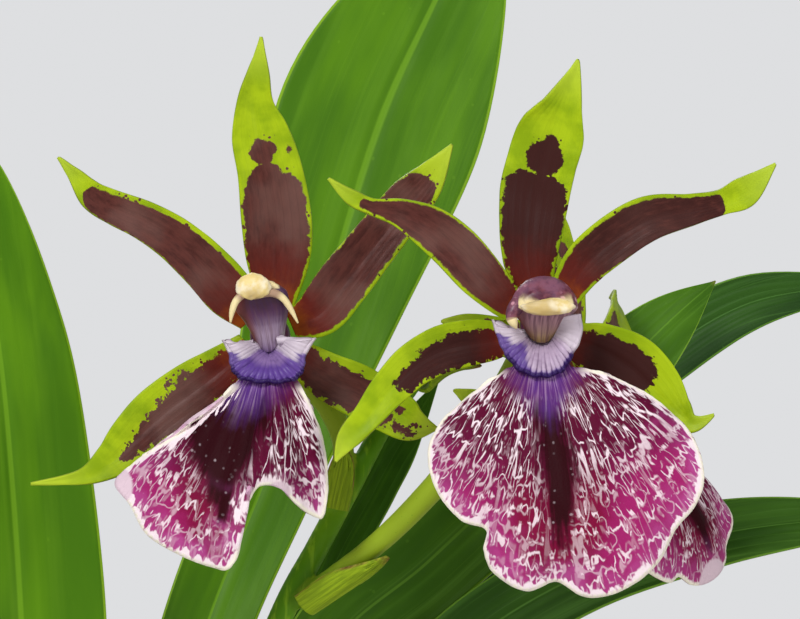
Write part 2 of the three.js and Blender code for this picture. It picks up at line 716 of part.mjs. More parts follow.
// The rim of a lip, as x and z points from its upper left shoulder round the bottom to the upper right one,
// and how far forward each stretch of it stands
const openLip = {
  rim: [[-8.6, -8.6], [-12.4, -12], [-16.4, -15.8], [-18.2, -20.6], [-16.9, -26], [-13, -30.8],
    [-9, -32.4], [-9.2, -35.8], [-7.4, -39.4], [-2.6, -42], [2.2, -40.6], [6.6, -42.9], [11, -42.6],
    [15.4, -40.2], [18.8, -36.8], [21, -32.6], [24.4, -28.4], [25.6, -23.4], [23.4, -17], [17, -11.2],
    [9.8, -7.4]],
  forward: [0, 0.4, 1.6, 3, 4, 4.6, 4.4, 5, 5.6, 6, 5.4, 6, 6, 5.8, 5.2, 4.4, 4, 3, 1.6, 0.4, 0],
  width: 1,
};
const foldedLip = {
  rim: [[-8, -10.6], [-11.6, -13.6], [-16.1, -16.9], [-21.8, -20.6], [-25, -24], [-22.4, -27.6],
    [-19.4, -32.3], [-13.7, -35.6], [-9, -37.2], [-6.1, -37.4], [-4.4, -33.4], [-3.7, -27.6],
    [-1.4, -24.2], [1.7, -24.4], [4.8, -27.4], [7.2, -29.2], [8.9, -29.4], [9.6, -25], [9.2, -20],
    [8, -15], [6.6, -10.6]],
  forward: [0, -0.4, -1, -2, -2.4, 0, 3, 5, 6.4, 7, 7.4, 7.6, 7, 6, 4, 2, 1, 0.4, 0, 0, 0],
  width: 0.92,
};
const turnedLip = {
  rim: [[-7.6, -8.6], [-10.6, -11], [-14, -13.8], [-15.6, -17.8], [-14.4, -22.4], [-11, -26.4], [-7.8, -28],
    [-7.8, -30], [-6.2, -32.6], [-2.2, -34.4], [1.9, -33.4], [5.6, -35], [9.4, -34.8], [13, -33],
    [16, -30.8], [18.2, -28.6], [20.4, -25.6], [20.6, -22], [17.6, -18], [13, -13.6], [8.4, -9.4]],
  forward: [0, 0.4, 1.4, 2.6, 3.4, 3.8, 3.8, 4.2, 4.8, 5, 4.6, 5, 5, 4.8, 4.4, 3.8, 3.4, 2.6, 1.4, 0.4, 0],
  width: 0.92,
};

// The frilled callus, as x and z points from its left horn under the column to its right horn
const openCallus = {
  outer: [[-7, 1], [-6.9, -1.6], [-5.4, -4.8], [-3.1, -7.2], [0, -8.2], [3.1, -7.4], [5.4, -4.8], [6.6, -1.6],
    [6.6, 1.6]],
  inner: [[-4.5, -1.2], [-4, -2.3], [-3, -3.5], [-1.6, -4.3], [0, -4.6], [1.7, -4.2], [3, -3.2], [3.9, -1.8],
    [4.3, -0.6]],
};
const foldedCallus = {
  outer: [[-7.3, -0.3], [-6.7, -3], [-5.1, -5.4], [-2.7, -6.9], [0, -7.4], [2.6, -6.9], [4.8, -5.2],
    [6.2, -2.8], [6.9, -0.3]],
  inner: [[-3.8, -2], [-3.2, -3.2], [-2.3, -4], [-1.2, -4.5], [0, -4.6], [1.2, -4.5], [2.2, -4], [3, -3.2],
    [3.6, -2]],
};

// The column, from the seat to its tip, and the anther cap in front of its tip
const noddingColumn = {
  path: [[0, -3.05, 0.1], [0, -3.9, 0.1], [0, -5.4, 1.1], [0.1, -7.4, 2.1], [0.2, -9.8, 2.7],
    [0.4, -11.8, 2.9], [0.5, -13.4, 2.9]],
  cap: [0.8, -14.9, 3],
  capHalf: [4.2, 1.1, 1.4],
  half: [2.3, 2.5, 3, 3.9, 4.9, 5.3, 4.3],
  back: [2.3, 2.5, 3.4, 4.4, 5, 4.8, 3.1],
  belly: [2.3, 2.4, 2.4, 2.2, 1.8, 1.3, 0.8],
};
const uprightColumn = {
  path: [[0, -3.15, 0.1], [0, -4.6, 0.3], [-0.2, -5.9, 1.5], [-0.5, -6.9, 3.1], [-0.9, -7.9, 4.7],
    [-1.4, -8.9, 6.2], [-1.8, -9.7, 7.6]],
  cap: [-2.4, -11.9, 7.9],
  capHalf: [2.8, 1.2, 2.1],
  half: [2.3, 2.5, 3, 3.7, 4.4, 4.4, 3.2],
  back: [2.3, 2.3, 2.8, 3.3, 3.3, 2.9, 1.8],
  belly: [2.3, 2.4, 2.4, 2.2, 1.9, 1.5, 0.9],
};

const blooms = [
  {
    name: "right",
    tepals: rightBloomTepals,
    lip: openLip,
    callus: openCallus,
    column: noddingColumn,
  },
  {
    name: "left",
    tepals: leftBloomTepals,
    lip: foldedLip,
    callus: foldedCallus,
    column: uprightColumn,
  },
  {
    name: "back",
    tepals: backBloomTepals,
    lip: turnedLip,
    callus: openCallus,
    column: noddingColumn,
  },
];

// The claw of the lip leaves the seat, passes under the column and spreads into the blade
const claw = { half: 2.9, y: -1.5, z: -3.9 };
const neck = { half: 4.6, y: -8.5, z: -6.6, sag: 0.9 };
const clawShare = 0.2;
const lipBulge = 2.2;
const lipRipple = 0.5;
const lipRipples = 5;

function lipSurface(lip) {
  return (t, u) => {
    const across = (u + 1) / 2;
    const fullness = Math.sin(Math.PI * across);
    const start = new THREE.Vector3(claw.half * u, claw.y, claw.z);
    const middle = new THREE.Vector3(neck.half * u * lip.width, neck.y, neck.z - neck.sag * fullness);
    if (t < clawShare) return start.lerp(middle, t / clawShare);
    const part = (t - clawShare) / (1 - clawShare);
    const x = along(lip.rim.map((p) => p[0]), across);
    const z = along(lip.rim.map((p) => p[1]), across);
    const ripple = lipRipple * Math.sin(2 * Math.PI * lipRipples * across);
    const forward = along(lip.forward, across) + lipBulge * fullness * Math.sin(Math.PI * part);
    const end = new THREE.Vector3(x, neck.y, z);
    const place = middle.lerp(end, part);
    place.y -= forward * Math.sin((Math.PI / 2) * part) + ripple * part * part;
    return place;
  };
}

const callusRidges = 11;
const ridgeHeight = 0.35;
const callusThickness = 1;
const callusSwell = 0.9;
const callusDepth = { horn: -9.2, base: -6.7, brim: -10.4 };

function callusSurface(callus) {
  return (t, u) => {
    const across = (u + 1) / 2;
    const low = Math.sin(Math.PI * across);
    const [outerX, outerZ] = [0, 1].map((axis) => along(callus.outer.map((p) => p[axis]), across));
    const [innerX, innerZ] = [0, 1].map((axis) => along(callus.inner.map((p) => p[axis]), across));
    const innerY = callusDepth.horn + (callusDepth.base - callusDepth.horn) * low;
    const inner = new THREE.Vector3(innerX, innerY, innerZ);
    const outer = new THREE.Vector3(outerX, callusDepth.brim, outerZ);
    const place = inner.lerp(outer, t);
    const ridge = ridgeHeight * Math.cos(2 * Math.PI * callusRidges * across);
    place.y -= Math.sin(Math.PI * Math.min(1, t + 0.15)) * (callusSwell + ridge);
    return place;
  };
}

const columnRows = 6;
const columnSides = 10;

function columnGeometry(column) {
  const rings = [];
  for (let i = 0; i <= columnRows; i += 1) {
    const t = i / columnRows;
    const centre = placeAlong(column.path, t);
    const forward = directionAlong(column.path, t);
    const side = squareTo(new THREE.Vector3(1, 0, 0), forward);
    const up = forward.clone().cross(side);
    const ring = [];
    for (let j = 0; j < columnSides; j += 1) {
      const angle = (2 * Math.PI * j) / columnSides;
      const height = along(Math.sin(angle) > 0 ? column.back : column.belly, t);
      ring.push(
        centre
          .clone()
          .addScaledVector(side, along(column.half, t) * Math.cos(angle))
          .addScaledVector(up, height * Math.sin(angle)),
      );
    }
    rings.push(ring);
  }
  return loftGeometry(rings);
}

const capSides = 10;
const capRings = 6;

function capGeometry(column) {
  const cap = new THREE.SphereGeometry(1, capSides, capRings);
  return cap.scale(...column.capHalf).translate(...column.cap);
}

function bloomFrame(seat) {
  const frame = new THREE.Group();
  frame.position.set(...seat.centre);
  frame.rotation.order = "ZXY";
  frame.rotation.set(THREE.MathUtils.degToRad(seat.pitch), 0, THREE.MathUtils.degToRad(seat.yaw));
  return frame;
}

function makeBloom(bloom) {
  const frame = bloomFrame(bloomSeats[bloom.name]);
  group.add(frame);
  const whole = `${bloom.name}_bloom_`;
  for (const [name, blade] of Object.entries(bloom.tepals)) {
    const tepal = { wave: tepalWave, ...blade };
    addPiece(whole + name, bladeGeometry(tepal, grid.tepal, petalThickness), colour.tepal, 0.4, frame);
  }
  const lip = sheetGeometry(lipSurface(bloom.lip), grid.lip, petalThickness);
  addPiece(whole + "lip", lip, colour.lip, 0.55, frame);
  const callus = sheetGeometry(callusSurface(bloom.callus), grid.callus, callusThickness);
  addPiece(whole + "callus", callus, colour.callus, 0.5, frame);
  addPiece(whole + "column", columnGeometry(bloom.column), colour.column, 0.35, frame);
  addPiece(whole + "anther_cap", capGeometry(bloom.column), colour.cap, 0.5, frame);
}

// The flower stem: scape and rachis, and a pedicel with its ovary up to the seat of each bloom

const rachisPath = [
  [8, -38, 104],
  [6.5, -40, 130],
  [6, -42, 165],
  [10, -47, 215],
  [19, -51, 254],
  [28.1, -52, 278.6],
  [34, -51, 290],
  [39.7, -49, 300.5],
  [45.5, -46, 311],
  [52.2, -40, 319.8],
  [59, -34, 323.5],
  [66.8, -28, 323.9],
];

const pedicelPaths = {
  right: [[31, -52.5, 281.5], [37.3, -55, 286.1], [42.6, -58, 290.1], [48.3, -61, 295.3], [54.7, -64, 302.3],
    [60.7, -66, 310.3], [66.2, -67.4, 319]],
  left: [[37, -50.5, 297], [38.6, -50.5, 306.7], [36.4, -50.5, 313.4], [32, -50, 319]],
  back: [[59, -34, 323.5], [66.8, -28, 323.9], [71, -29.5, 319.6]],
};

function scapeGeometry(extra) {
  return stemGeometry(rachisPath, rachisRadii, stemSteps.rachis, stemSides.rachis, extra);
}

// The control points and radii of a pedicel, whose end is the seat in the bloom's own frame
function pedicelStem(name) {
  const frame = bloomFrame(bloomSeats[name]);
  frame.updateMatrixWorld(true);
  const seatPoints = seatStations.map((y) => {
    return new THREE.Vector3(0, y, 0).applyMatrix4(frame.matrixWorld).toArray();
  });
  const path = pedicelPaths[name];
  const { foot, below, ovary } = pedicelRadii;
  const radii = Array.from(path, (_, i) => foot + ((below - foot) * i) / path.length);
  return { path: [...path, ...seatPoints], radii: [...radii, ...ovary] };
}

function pedicelGeometry(name) {
  const { path, radii } = pedicelStem(name);
  return stemGeometry(path, radii, stemSteps.pedicel, stemSides.pedicel);
}

function makeFlowerStem() {
  const pedicels = Object.keys(pedicelPaths).map(pedicelGeometry);
  const stem = joined([scapeGeometry(0), ...pedicels]);
  addPiece("flower_stem", geometryOf(stem), colour.stem, 0.45);
}

// Bracts at the nodes and sheaths lower on the scape clasp the stem from one side. Each runs from one
// share of its stem's length to another, and its tip stands off by the flare.

const bractThickness = 0.8;
const bractTaper = [1, 1, 0.7, 0.1];
const bracts = [
  {
    name: "bract_right_bloom",
    stem: "right",
    from: 0.02,
    to: 0.24,
    out: [0.3, -0.6, -0.75],
    arc: 75,
    room: 0.6,
    flare: 0.4,
  },
  {
    name: "bract_left_bloom",
    stem: "left",
    from: 0,
    to: 0.16,
    out: [0, -1, 0],
    arc: 55,
    room: 0.6,
    flare: 0.8,
  },
  {
    name: "bract_back_bloom",
    stem: "rachis",
    from: 0.8,
    to: 0.93,
    out: [0, -0.3, -1],
    arc: 70,
    room: 0.4,
    flare: 0.8,
  },
  {
    name: "scape_sheath_lower",
    stem: "rachis",
    from: 0.18,
    to: 0.27,
    out: [1, -0.3, 0],
    arc: 80,
    room: 0.2,
    flare: 1.6,
  },
  {
    name: "scape_sheath_upper",
    stem: "rachis",
    from: 0.3,
    to: 0.38,
    out: [-0.6, -0.8, 0],
    arc: 80,
    room: 0.2,
    flare: 1.6,
  },
];

function bractBlade(bract) {
  const stem = bract.stem === "rachis" ? { path: rachisPath, radii: rachisRadii } : pedicelStem(bract.stem);
  const path = [];
  const half = [];
  const face = [];
  bractTaper.forEach((taper, i) => {
    const share = i / (bractTaper.length - 1);
    const t = bract.from + (bract.to - bract.from) * share;
    const out = squareTo(new THREE.Vector3(...bract.out), directionAlong(stem.path, t));
    const radius = along(stem.radii, t) + bractThickness / 2 + clearance + bract.room;
    const flare = bract.flare * share * share;
    path.push(placeAlong(stem.path, t).addScaledVector(out, radius + flare).toArray());
    half.push(radius * THREE.MathUtils.degToRad(bract.arc) * taper);
    face.push(out.negate().toArray());
  });
  return { path, half, curl: bractTaper.map((taper) => bract.arc * taper), face };
}

function makeBracts() {
  for (const bract of bracts) {
    addPiece(bract.name, bladeGeometry(bractBlade(bract), grid.bract, bractThickness), colour.bract, 0.6);
  }
}

makePot();
makeMix();
makeRhizome();
makeBulbs();
makeLeaves();
makeFlowerStem();
makeBracts();
blooms.forEach(makeBloom);

export default group;
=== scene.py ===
# A potted Galeopetalum orchid: three blooms on one stem, strap leaves, pseudobulbs in bark, a plain pot.
# Sizes are millimetres from the middle of the pot's flat underside. Meshes turn to metres as they are made.
import math

import bmesh
import bpy
import numpy as np
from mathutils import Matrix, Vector


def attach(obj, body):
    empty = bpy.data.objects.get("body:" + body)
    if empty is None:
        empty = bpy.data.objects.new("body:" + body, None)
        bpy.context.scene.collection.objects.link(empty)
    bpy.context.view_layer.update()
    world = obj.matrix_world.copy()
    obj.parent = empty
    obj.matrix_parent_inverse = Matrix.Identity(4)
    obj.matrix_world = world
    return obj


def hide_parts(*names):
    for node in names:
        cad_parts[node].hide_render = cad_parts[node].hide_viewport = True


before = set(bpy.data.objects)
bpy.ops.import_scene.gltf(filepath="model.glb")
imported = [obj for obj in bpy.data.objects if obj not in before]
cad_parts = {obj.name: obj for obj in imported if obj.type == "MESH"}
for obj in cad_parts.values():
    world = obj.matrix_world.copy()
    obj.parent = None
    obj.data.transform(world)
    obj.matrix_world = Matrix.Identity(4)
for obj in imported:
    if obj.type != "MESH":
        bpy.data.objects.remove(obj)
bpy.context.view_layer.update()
toMetres = 0.001
print("frame loaded with", len(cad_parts), "nodes")


# Curves and vectors

def along(values, t):
    # a smooth curve through evenly spaced numbers or points
    values = np.asarray(values, float)
    last = len(values) - 1
    place = np.clip(t, 0, 1) * last
    i = np.minimum(np.floor(place), last - 1).astype(int)
    f = place - i
    a, b = values[np.maximum(i - 1, 0)], values[i]
    c, d = values[i + 1], values[np.minimum(i + 2, last)]
    if values.ndim == 2:
        f = f[..., None]
    bend = 2 * a - 5 * b + 4 * c - d + f * (3 * (b - c) + d - a)
    return b + f / 2 * (c - a + f * bend)


def unit(vectors):
    return vectors / np.maximum(np.linalg.norm(vectors, axis=-1, keepdims=True), 1e-9)


def squareTo(vectors, directions):
    # the part of each vector that stands square on its direction
    share = (vectors * directions).sum(-1, keepdims=True)
    return unit(vectors - share * directions)


def directionAlong(points, t):
    return unit(along(points, t + 0.01) - along(points, t - 0.01))


def smoothStep(low, high, value):
    x = np.clip((value - low) / (high - low), 0, 1)
    return x * x * (3 - 2 * x)


def softNoise(seed, *coordinates, waves=6):
    # a smooth, seeded wobble between about -1 and 1
    dice = np.random.RandomState(seed)
    total = 0
    for octave in range(waves):
        reach = 1 + 0.55 * octave
        phase = dice.uniform(0, 2 * math.pi)
        turned = sum(dice.normal() * c * reach for c in coordinates)
        total = total + np.sin(turned + phase) / (1 + 0.5 * octave)
    return total / waves * 1.6


# Meshes

def nodeName(name):
    # leafLeftTall stands for the plain solid leaf_left_tall
    return "".join("_" + letter.lower() if letter.isupper() else letter for letter in name)


def flatAt(x, y):
    # a place on a flattened piece, which its markings are drawn in
    return np.stack([x, y, np.zeros_like(x)], -1)


def addMesh(name, points, faces, fields, smooth=True):
    # a field is one number for the whole mesh, or a number or vector for each point
    mesh = bpy.data.meshes.new(name)
    mesh.from_pydata((np.asarray(points) * toMetres).tolist(), [], faces)
    for key, values in fields.items():
        values = np.asarray(values, np.float32)
        if values.ndim == 0:
            values = np.full(len(points), values)
        kind = "FLOAT_VECTOR" if values.ndim == 2 else "FLOAT"
        layer = mesh.attributes.new(key, kind, "POINT")
        layer.data.foreach_set("vector" if values.ndim == 2 else "value", values.ravel())
    mesh.polygons.foreach_set("use_smooth", [smooth] * len(mesh.polygons))
    mesh.update()
    piece = bpy.data.objects.new(name, mesh)
    bpy.context.scene.collection.objects.link(piece)
    return piece


def dress(piece, finish, slot, *nodes):
    # gives a piece its finish, and lets it stand for its plain solids
    piece.data.materials.clear()
    piece.data.materials.append(finish)
    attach(piece, "root")
    if nodes:
        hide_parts(*nodes)
    return piece


def gridFaces(rows, columns, start=0, flip=False):
    i, j = np.meshgrid(np.arange(rows), np.arange(columns), indexing="ij")
    a = start + i * (columns + 1) + j
    quads = np.stack([a, a + 1, a + columns + 2, a + columns + 1], -1).reshape(-1, 4)
    return (quads[:, ::-1] if flip else quads).tolist()


def gridNormals(middle):
    lengthwise = np.empty_like(middle)
    lengthwise[1:-1] = middle[2:] - middle[:-2]
    lengthwise[0], lengthwise[-1] = middle[1] - middle[0], middle[-1] - middle[-2]
    across = np.empty_like(middle)
    across[:, 1:-1] = middle[:, 2:] - middle[:, :-2]
    across[:, 0], across[:, -1] = middle[:, 1] - middle[:, 0], middle[:, -1] - middle[:, -2]
    return unit(np.cross(across, lengthwise))


def sheetPiece(name, middle, thickness, fields, facing=1):
    # a thin closed sheet round a grid of middle points, with its front on the side that facing says
    rows, columns = middle.shape[0] - 1, middle.shape[1] - 1
    lift = gridNormals(middle) * (thickness / 2)[..., None]
    points = np.concatenate([(middle + lift).reshape(-1, 3), (middle - lift).reshape(-1, 3)])
    behind = middle.shape[0] * middle.shape[1]
    faces = gridFaces(rows, columns) + gridFaces(rows, columns, behind, flip=True)
    at = np.arange(behind).reshape(rows + 1, columns + 1)
    rim = np.concatenate([at[0, :-1], at[:-1, -1], at[-1, :0:-1], at[:0:-1, 0]])
    following = np.roll(rim, -1)
    faces += np.stack([rim, rim + behind, following + behind, following], -1).tolist()
    doubled = dict(fields)
    for key, values in fields.items():
        if np.ndim(values):
            doubled[key] = np.concatenate([values.reshape(behind, *values.shape[2:])] * 2)
    doubled["front"] = np.repeat([1.0, 0.0][::facing], behind)
    return addMesh(name, points, faces, doubled)


def settle(piece):
    # the piece's modifiers become plain mesh
    bpy.context.view_layer.update()
    solid = bpy.data.meshes.new_from_object(piece.evaluated_get(bpy.context.evaluated_depsgraph_get()))
    piece.modifiers.clear()
    piece.data = solid
    solid.polygons.foreach_set("use_smooth", [True] * len(solid.polygons))
    return solid


def loftFaces(rows, sides, start=0):
    # faces of a closed skin over rows of rings, with a fan at each end
    i, j = np.meshgrid(np.arange(rows - 1), np.arange(sides), indexing="ij")
    a, b = start + i * sides + j, start + i * sides + (j + 1) % sides
    faces = np.stack([a, b, b + sides, a + sides], -1).reshape(-1, 4).tolist()
    end = start + (rows - 1) * sides
    faces.append(list(range(start + sides - 1, start - 1, -1)))
    faces.append(list(range(end, end + sides)))
    return faces


def turns(count):
    return np.linspace(0, 2 * math.pi, count, endpoint=False)


def addLoft(points, faces, rings):
    # adds a closed skin over rings to the points and faces gathered so far
    faces += loftFaces(*rings.shape[:2], sum(len(part) for part in points))
    points.append(rings.reshape(-1, 3))


def tubeRings(points, radii, rows, sides):
    # rings round a path, and how far along it each ring stands
    t = np.linspace(0, 1, rows)
    forward = directionAlong(points, t)
    centre = along(points, t)
    radius = along(radii, t)
    side = np.array([0.0, 1.0, 0.0])
    angle = turns(sides)
    rings = []
    for i in range(rows):
        side = squareTo(side, forward[i])
        up = np.cross(forward[i], side)
        out = np.outer(np.cos(angle), side) + np.outer(np.sin(angle), up)
        rings.append(centre[i] + out * radius[i])
    return np.array(rings), t, angle


def turnedRings(profile, sides):
    angle = turns(sides)
    profile = np.asarray(profile, float)
    x = np.outer(profile[:, 0], np.cos(angle))
    y = np.outer(profile[:, 0], np.sin(angle))
    z = np.repeat(profile[:, 1], sides).reshape(len(profile), sides)
    return np.stack([x, y, z], -1), angle


# Finishes are node trees built from these few kinds of node

def paint(code):
    channels = [int(code[i:i + 2], 16) / 255 for i in (1, 3, 5)]
    linear = [c / 12.92 if c <= 0.04045 else ((c + 0.055) / 1.055) ** 2.4 for c in channels]
    return (*linear, 1.0)


def newFinish(name, roughness=0.5, shine=0.5, **sockets):
    finish = bpy.data.materials.new(name)
    finish.use_nodes = True
    shader = finish.node_tree.nodes["Principled BSDF"]
    shader.inputs["Roughness"].default_value = roughness
    shader.inputs["Specular IOR Level"].default_value = shine
    for socket, value in sockets.items():
        shader.inputs[socket.replace("_", " ")].default_value = value
    return finish, finish.node_tree


def addNode(tree, kind, inputs=None, **settings):
    made = tree.nodes.new("ShaderNode" + kind)
    for setting, value in settings.items():
        setattr(made, setting, value)
    for key, value in (inputs or {}).items():
        if isinstance(value, bpy.types.NodeSocket):
            tree.links.new(value, made.inputs[key])
        else:
            made.inputs[key].default_value = value
    return made


def field(tree, name, output="Fac"):
    return addNode(tree, "Attribute", attribute_name=name).outputs[output]


def calc(tree, operation, a, b=0.0, c=0.0):
    return addNode(tree, "Math", {0: a, 1: b, 2: c}, operation=operation).outputs[0]


def ease(tree, value, low, high, start=0.0, finish=1.0):
    inputs = {"Value": value, "From Min": low, "From Max": high, "To Min": start, "To Max": finish}
    return addNode(tree, "MapRange", inputs, interpolation_type="SMOOTHSTEP").outputs["Result"]


def scaled(tree, vector, scale, shift=(0, 0, 0)):
    inputs = {"Vector": vector, "Scale": scale, "Location": shift}
    return addNode(tree, "Mapping", inputs).outputs["Vector"]


def times(tree, a, b):
    return calc(tree, "MULTIPLY", a, b)


def timesPlus(tree, a, b, c):
    return calc(tree, "MULTIPLY_ADD", a, b, c)


def absolute(tree, value):
    return calc(tree, "ABSOLUTE", value)


def noise(tree, vector, scale, detail=3.0, roughness=0.55, distortion=0.0):
    inputs = {"Vector": vector, "Scale": scale, "Detail": detail, "Roughness": roughness,
              "Distortion": distortion}
    return addNode(tree, "TexNoise", inputs).outputs["Fac"]


def streaks(tree, vector, scale, detail=3.0, roughness=0.55, shift=(0, 0, 0)):
    # noise drawn out along the axes with the smaller scales
    return noise(tree, scaled(tree, vector, scale, shift), 1.0, detail, roughness)


def cells(tree, vector, scale):
    return addNode(tree, "TexVoronoi", {"Vector": vector, "Scale": scale}).outputs["Distance"]


def blend(tree, factor, under, over):
    # each colour is a code or comes from another node
    under, over = (paint(colour) if isinstance(colour, str) else colour for colour in (under, over))
    return addNode(tree, "Mix", {0: factor, 6: under, 7: over}, data_type="RGBA").outputs[2]


def tint(tree, under, over, value, low, high, most=1.0):
    # lays one colour over another where a value passes from low to high
    return blend(tree, ease(tree, value, low, high, 0.0, most), under, over)


def connect(tree, output, socket="Base Color"):
    tree.links.new(output, tree.nodes["Principled BSDF"].inputs[socket])


def cover(finish, skin, height, distance, strength):
    # closes a finish with its colour and its fine relief
    tree = finish.node_tree
    inputs = {"Height": height, "Distance": distance * toMetres, "Strength": strength}
    connect(tree, skin)
    connect(tree, addNode(tree, "Bump", inputs).outputs["Normal"], "Normal")
    return finish


# Blades: leaves, tepals, bracts and sheaths

def bladeGrid(blade, look):
    # points of a cupped blade, each with its share along and across, the half width there and its distance
    # from the foot
    t = np.linspace(0, 1, look["rows"] + 1)
    u = np.linspace(-1, 1, look["columns"] + 1)
    forward = directionAlong(blade["path"], t)
    normal = squareTo(along(blade["face"], t), forward)
    twist = np.radians(along(blade.get("turn", [0, 0]), t))[:, None]
    normal = normal * np.cos(twist) + np.cross(forward, normal) * np.sin(twist)
    side = np.cross(forward, normal)
    half = along(blade["half"], t)[:, None]
    bend = np.radians(np.maximum(along(blade["curl"], t), 0.5))[:, None]
    phase = np.where(u > 0, 0, 2)
    ripple = blade.get("wave", 0) * t[:, None] * u * u
    ripple = ripple * np.sin(5 * math.pi * t[:, None] + phase)
    sideways = half * np.sin(u * bend) / bend
    lift = half * (1 - np.cos(u * bend)) / bend + ripple
    middle = along(blade["path"], t)[:, None] + side[:, None] * sideways[..., None]
    middle = middle + normal[:, None] * lift[..., None]
    spread = np.ones_like(u)[None]
    t, u = t[:, None] * spread, u[None] * np.ones_like(t)[:, None]
    return middle, t, u, half * spread, t * bladeLength(blade)


def bladeLength(blade):
    points = along(blade["path"], np.linspace(0, 1, 60))
    return np.linalg.norm(np.diff(points, axis=0), axis=1).sum()


def thinned(thickness, u, t, edge, tip=0.55):
    # tissue is thickest along the middle and thins towards the margins and the tip
    return thickness * (1 - (1 - edge) * np.abs(u) ** 5) * (1 - (1 - tip) * smoothStep(0.8, 1, t))


# Blooms. Each has its own frame: x to its right, z up, and its face towards -y.

seats = {
    "right": {"centre": (70.6, -75, 327.5), "pitch": 0, "yaw": 0},
    "left": {"centre": (26.7, -62, 325.8), "pitch": 0, "yaw": 0},
    "back": {"centre": (78.4, -38, 315.8), "pitch": -11, "yaw": 50},
}


def placed(points, bloom):
    # from a bloom's own frame to where it stands on its stem
    pitch, yaw = (math.radians(seats[bloom][k]) for k in ("pitch", "yaw"))
    x, y, z = points[..., 0], points[..., 1], points[..., 2]
    y, z = y * math.cos(pitch) - z * math.sin(pitch), y * math.sin(pitch) + z * math.cos(pitch)
    x, y = x * math.cos(yaw) - y * math.sin(yaw), x * math.sin(yaw) + y * math.cos(yaw)
    return np.stack([x, y, z], -1) + np.array(seats[bloom]["centre"])


# Tepals. The brown of each one stops short of its two margins (u -1 and u +1) by millimetres of green at
# even stations, and ends at a share of its length. Spots are (share, across mm, half length, half width).
tepalLook = {
    "rows": 130,
    "columns": 30,
    "thickness": 0.9,
    "wave": 0.35,
    "veins": 9,
    "veinHeight": 0.05,
    "grooveDepth": 0.22,
    "swell": 0.16,
    "marginSwell": 0.24,
    "green": "#a3bb12",
    "deepGreen": "#84a008",
    "tipGreen": "#b9cd3c",
    "brown": "#5a2f29",
    "dusk": "#3a1a17",
    "bloomGrey": "#6f4f48",
    "ember": "#64190f",
    "glow": "#96480f",
    "reverse": "#8b9c2c",
    "reverseBrown": "#6b4a2a",
}

rightTepals = {
    "DorsalSepal": {
        "path": [(0, 1.2, 3.9), (-1.6, 1.2, 10.5), (-1, 1.6, 20), (0.2, 1, 26), (2, 0, 31.5),
                 (3.9, -1.2, 36.5), (6.1, -2.6, 42.7)],
        "half": [2.4, 4.4, 5.7, 5.7, 5.4, 2.9, 0.14],
        "curl": [4, 12, 22, 18, 18, 28, 20],
        "turn": [0, 0, 0, 0, 0, 10, 25],
        "margins": ([0.3, 0.3, 0.4, 0.6, 1.4, 2, 2], [0.5, 0.3, 0.3, 0.4, 1.2, 2, 2]),
        "reach": 0.455,
        "spots": [(0.53, 0.2, 3.4, 3.2), (0.60, 0.4, 1.8, 1.6)],
        "depth": 1.0,
    },
    "PetalRight": {
        "path": [(2.9, -1.2, 2.9), (6.3, -1.6, 8.8), (10.5, -2.4, 12.9), (17, -2.6, 17),
                 (24.2, -2.2, 18.6), (29, -2.4, 19.7), (33, -3.4, 21.6), (37.6, -5, 25.8)],
        "half": [2.2, 3.4, 3.9, 3.7, 2.6, 2.1, 2.5, 0.14],
        "curl": [4, 10, 18, 22, 24, 24, 24, 20],
        "margins": ([0.7, 0.6, 0.5, 0.5, 0.5, 0.5, 1.0], [0.6, 0.3, -0.1, -0.5, -0.6, -0.6, 0.2]),
        "reach": 0.73,
        "ragged": 0.3,
        "depth": 0.35,
    },
    "PetalLeft": {
        "path": [(-3.2, -1.2, 2.2), (-6, -1.8, 4.2), (-9.7, -2.4, 8), (-13.7, -2.8, 12.4),
                 (-17.9, -3, 15.7), (-22.6, -3, 18), (-27, -3.4, 19), (-30.6, -4.2, 20.6),
                 (-34, -5.5, 23.5)],
        "half": [2.2, 2.9, 3.8, 4, 3.6, 2.4, 1.4, 1.2, 0.14],
        "curl": [4, 10, 18, 22, 24, 24, 24, 20, 20],
        "margins": ([0.7, 0.5, 0.4, 0.3, 0.2, 0.1, 0.1], [0.3, 0.2, 0.2, 0.2, 0.3, 0.4, 0.4]),
        "reach": 0.82,
        "ragged": 0.3,
    },
    "LateralSepalRight": {
        "path": [(3.7, 1.2, -1.3), (6.5, 1.4, -2.8), (10, 1.4, -4.2), (14.5, 1.2, -6.9),
                 (18.5, 0.8, -10.8), (21.8, 0.2, -14.2), (24.6, -0.8, -15.8), (27.9, -2, -14.5)],
        "half": [2.3, 3.4, 4.6, 5.5, 5, 3.2, 1.5, 0.14],
        "curl": [4, 8, 14, 18, 20, 22, 22, 20],
        "margins": ([1.3, 1.5, 1.9, 2.2, 3.2, 3, 2], [0.1, 0.0, 0.0, 0.1, 0.4, 1, 1]),
        "reach": 0.54,
        "ragged": 1.2,
        "depth": 0.6,
    },
    "LateralSepalLeft": {
        "path": [(-3.7, 1.2, -1.3), (-7.5, 1.2, -2.4), (-11.5, 1, -2.9), (-16.1, 0.8, -4),
                 (-20.6, 0.2, -6.6), (-24.5, -0.4, -10.5), (-27.8, -0.8, -14.6), (-31, -1, -18.4),
                 (-33, -1.4, -22)],
        "half": [2.3, 3.2, 3.8, 3.9, 3.6, 3.1, 2.4, 1.8, 0.14],
        "curl": [4, 8, 14, 18, 20, 22, 22, 20, 20],
        "margins": ([0.2, 0.2, 0.1, 0.2, 0.5, 1.2, 2], [0.9, 1.4, 2.0, 2.7, 3.2, 3.4, 3]),
        "reach": 0.60,
        "ragged": 1.2,
        "depth": 0.45,
    },
}
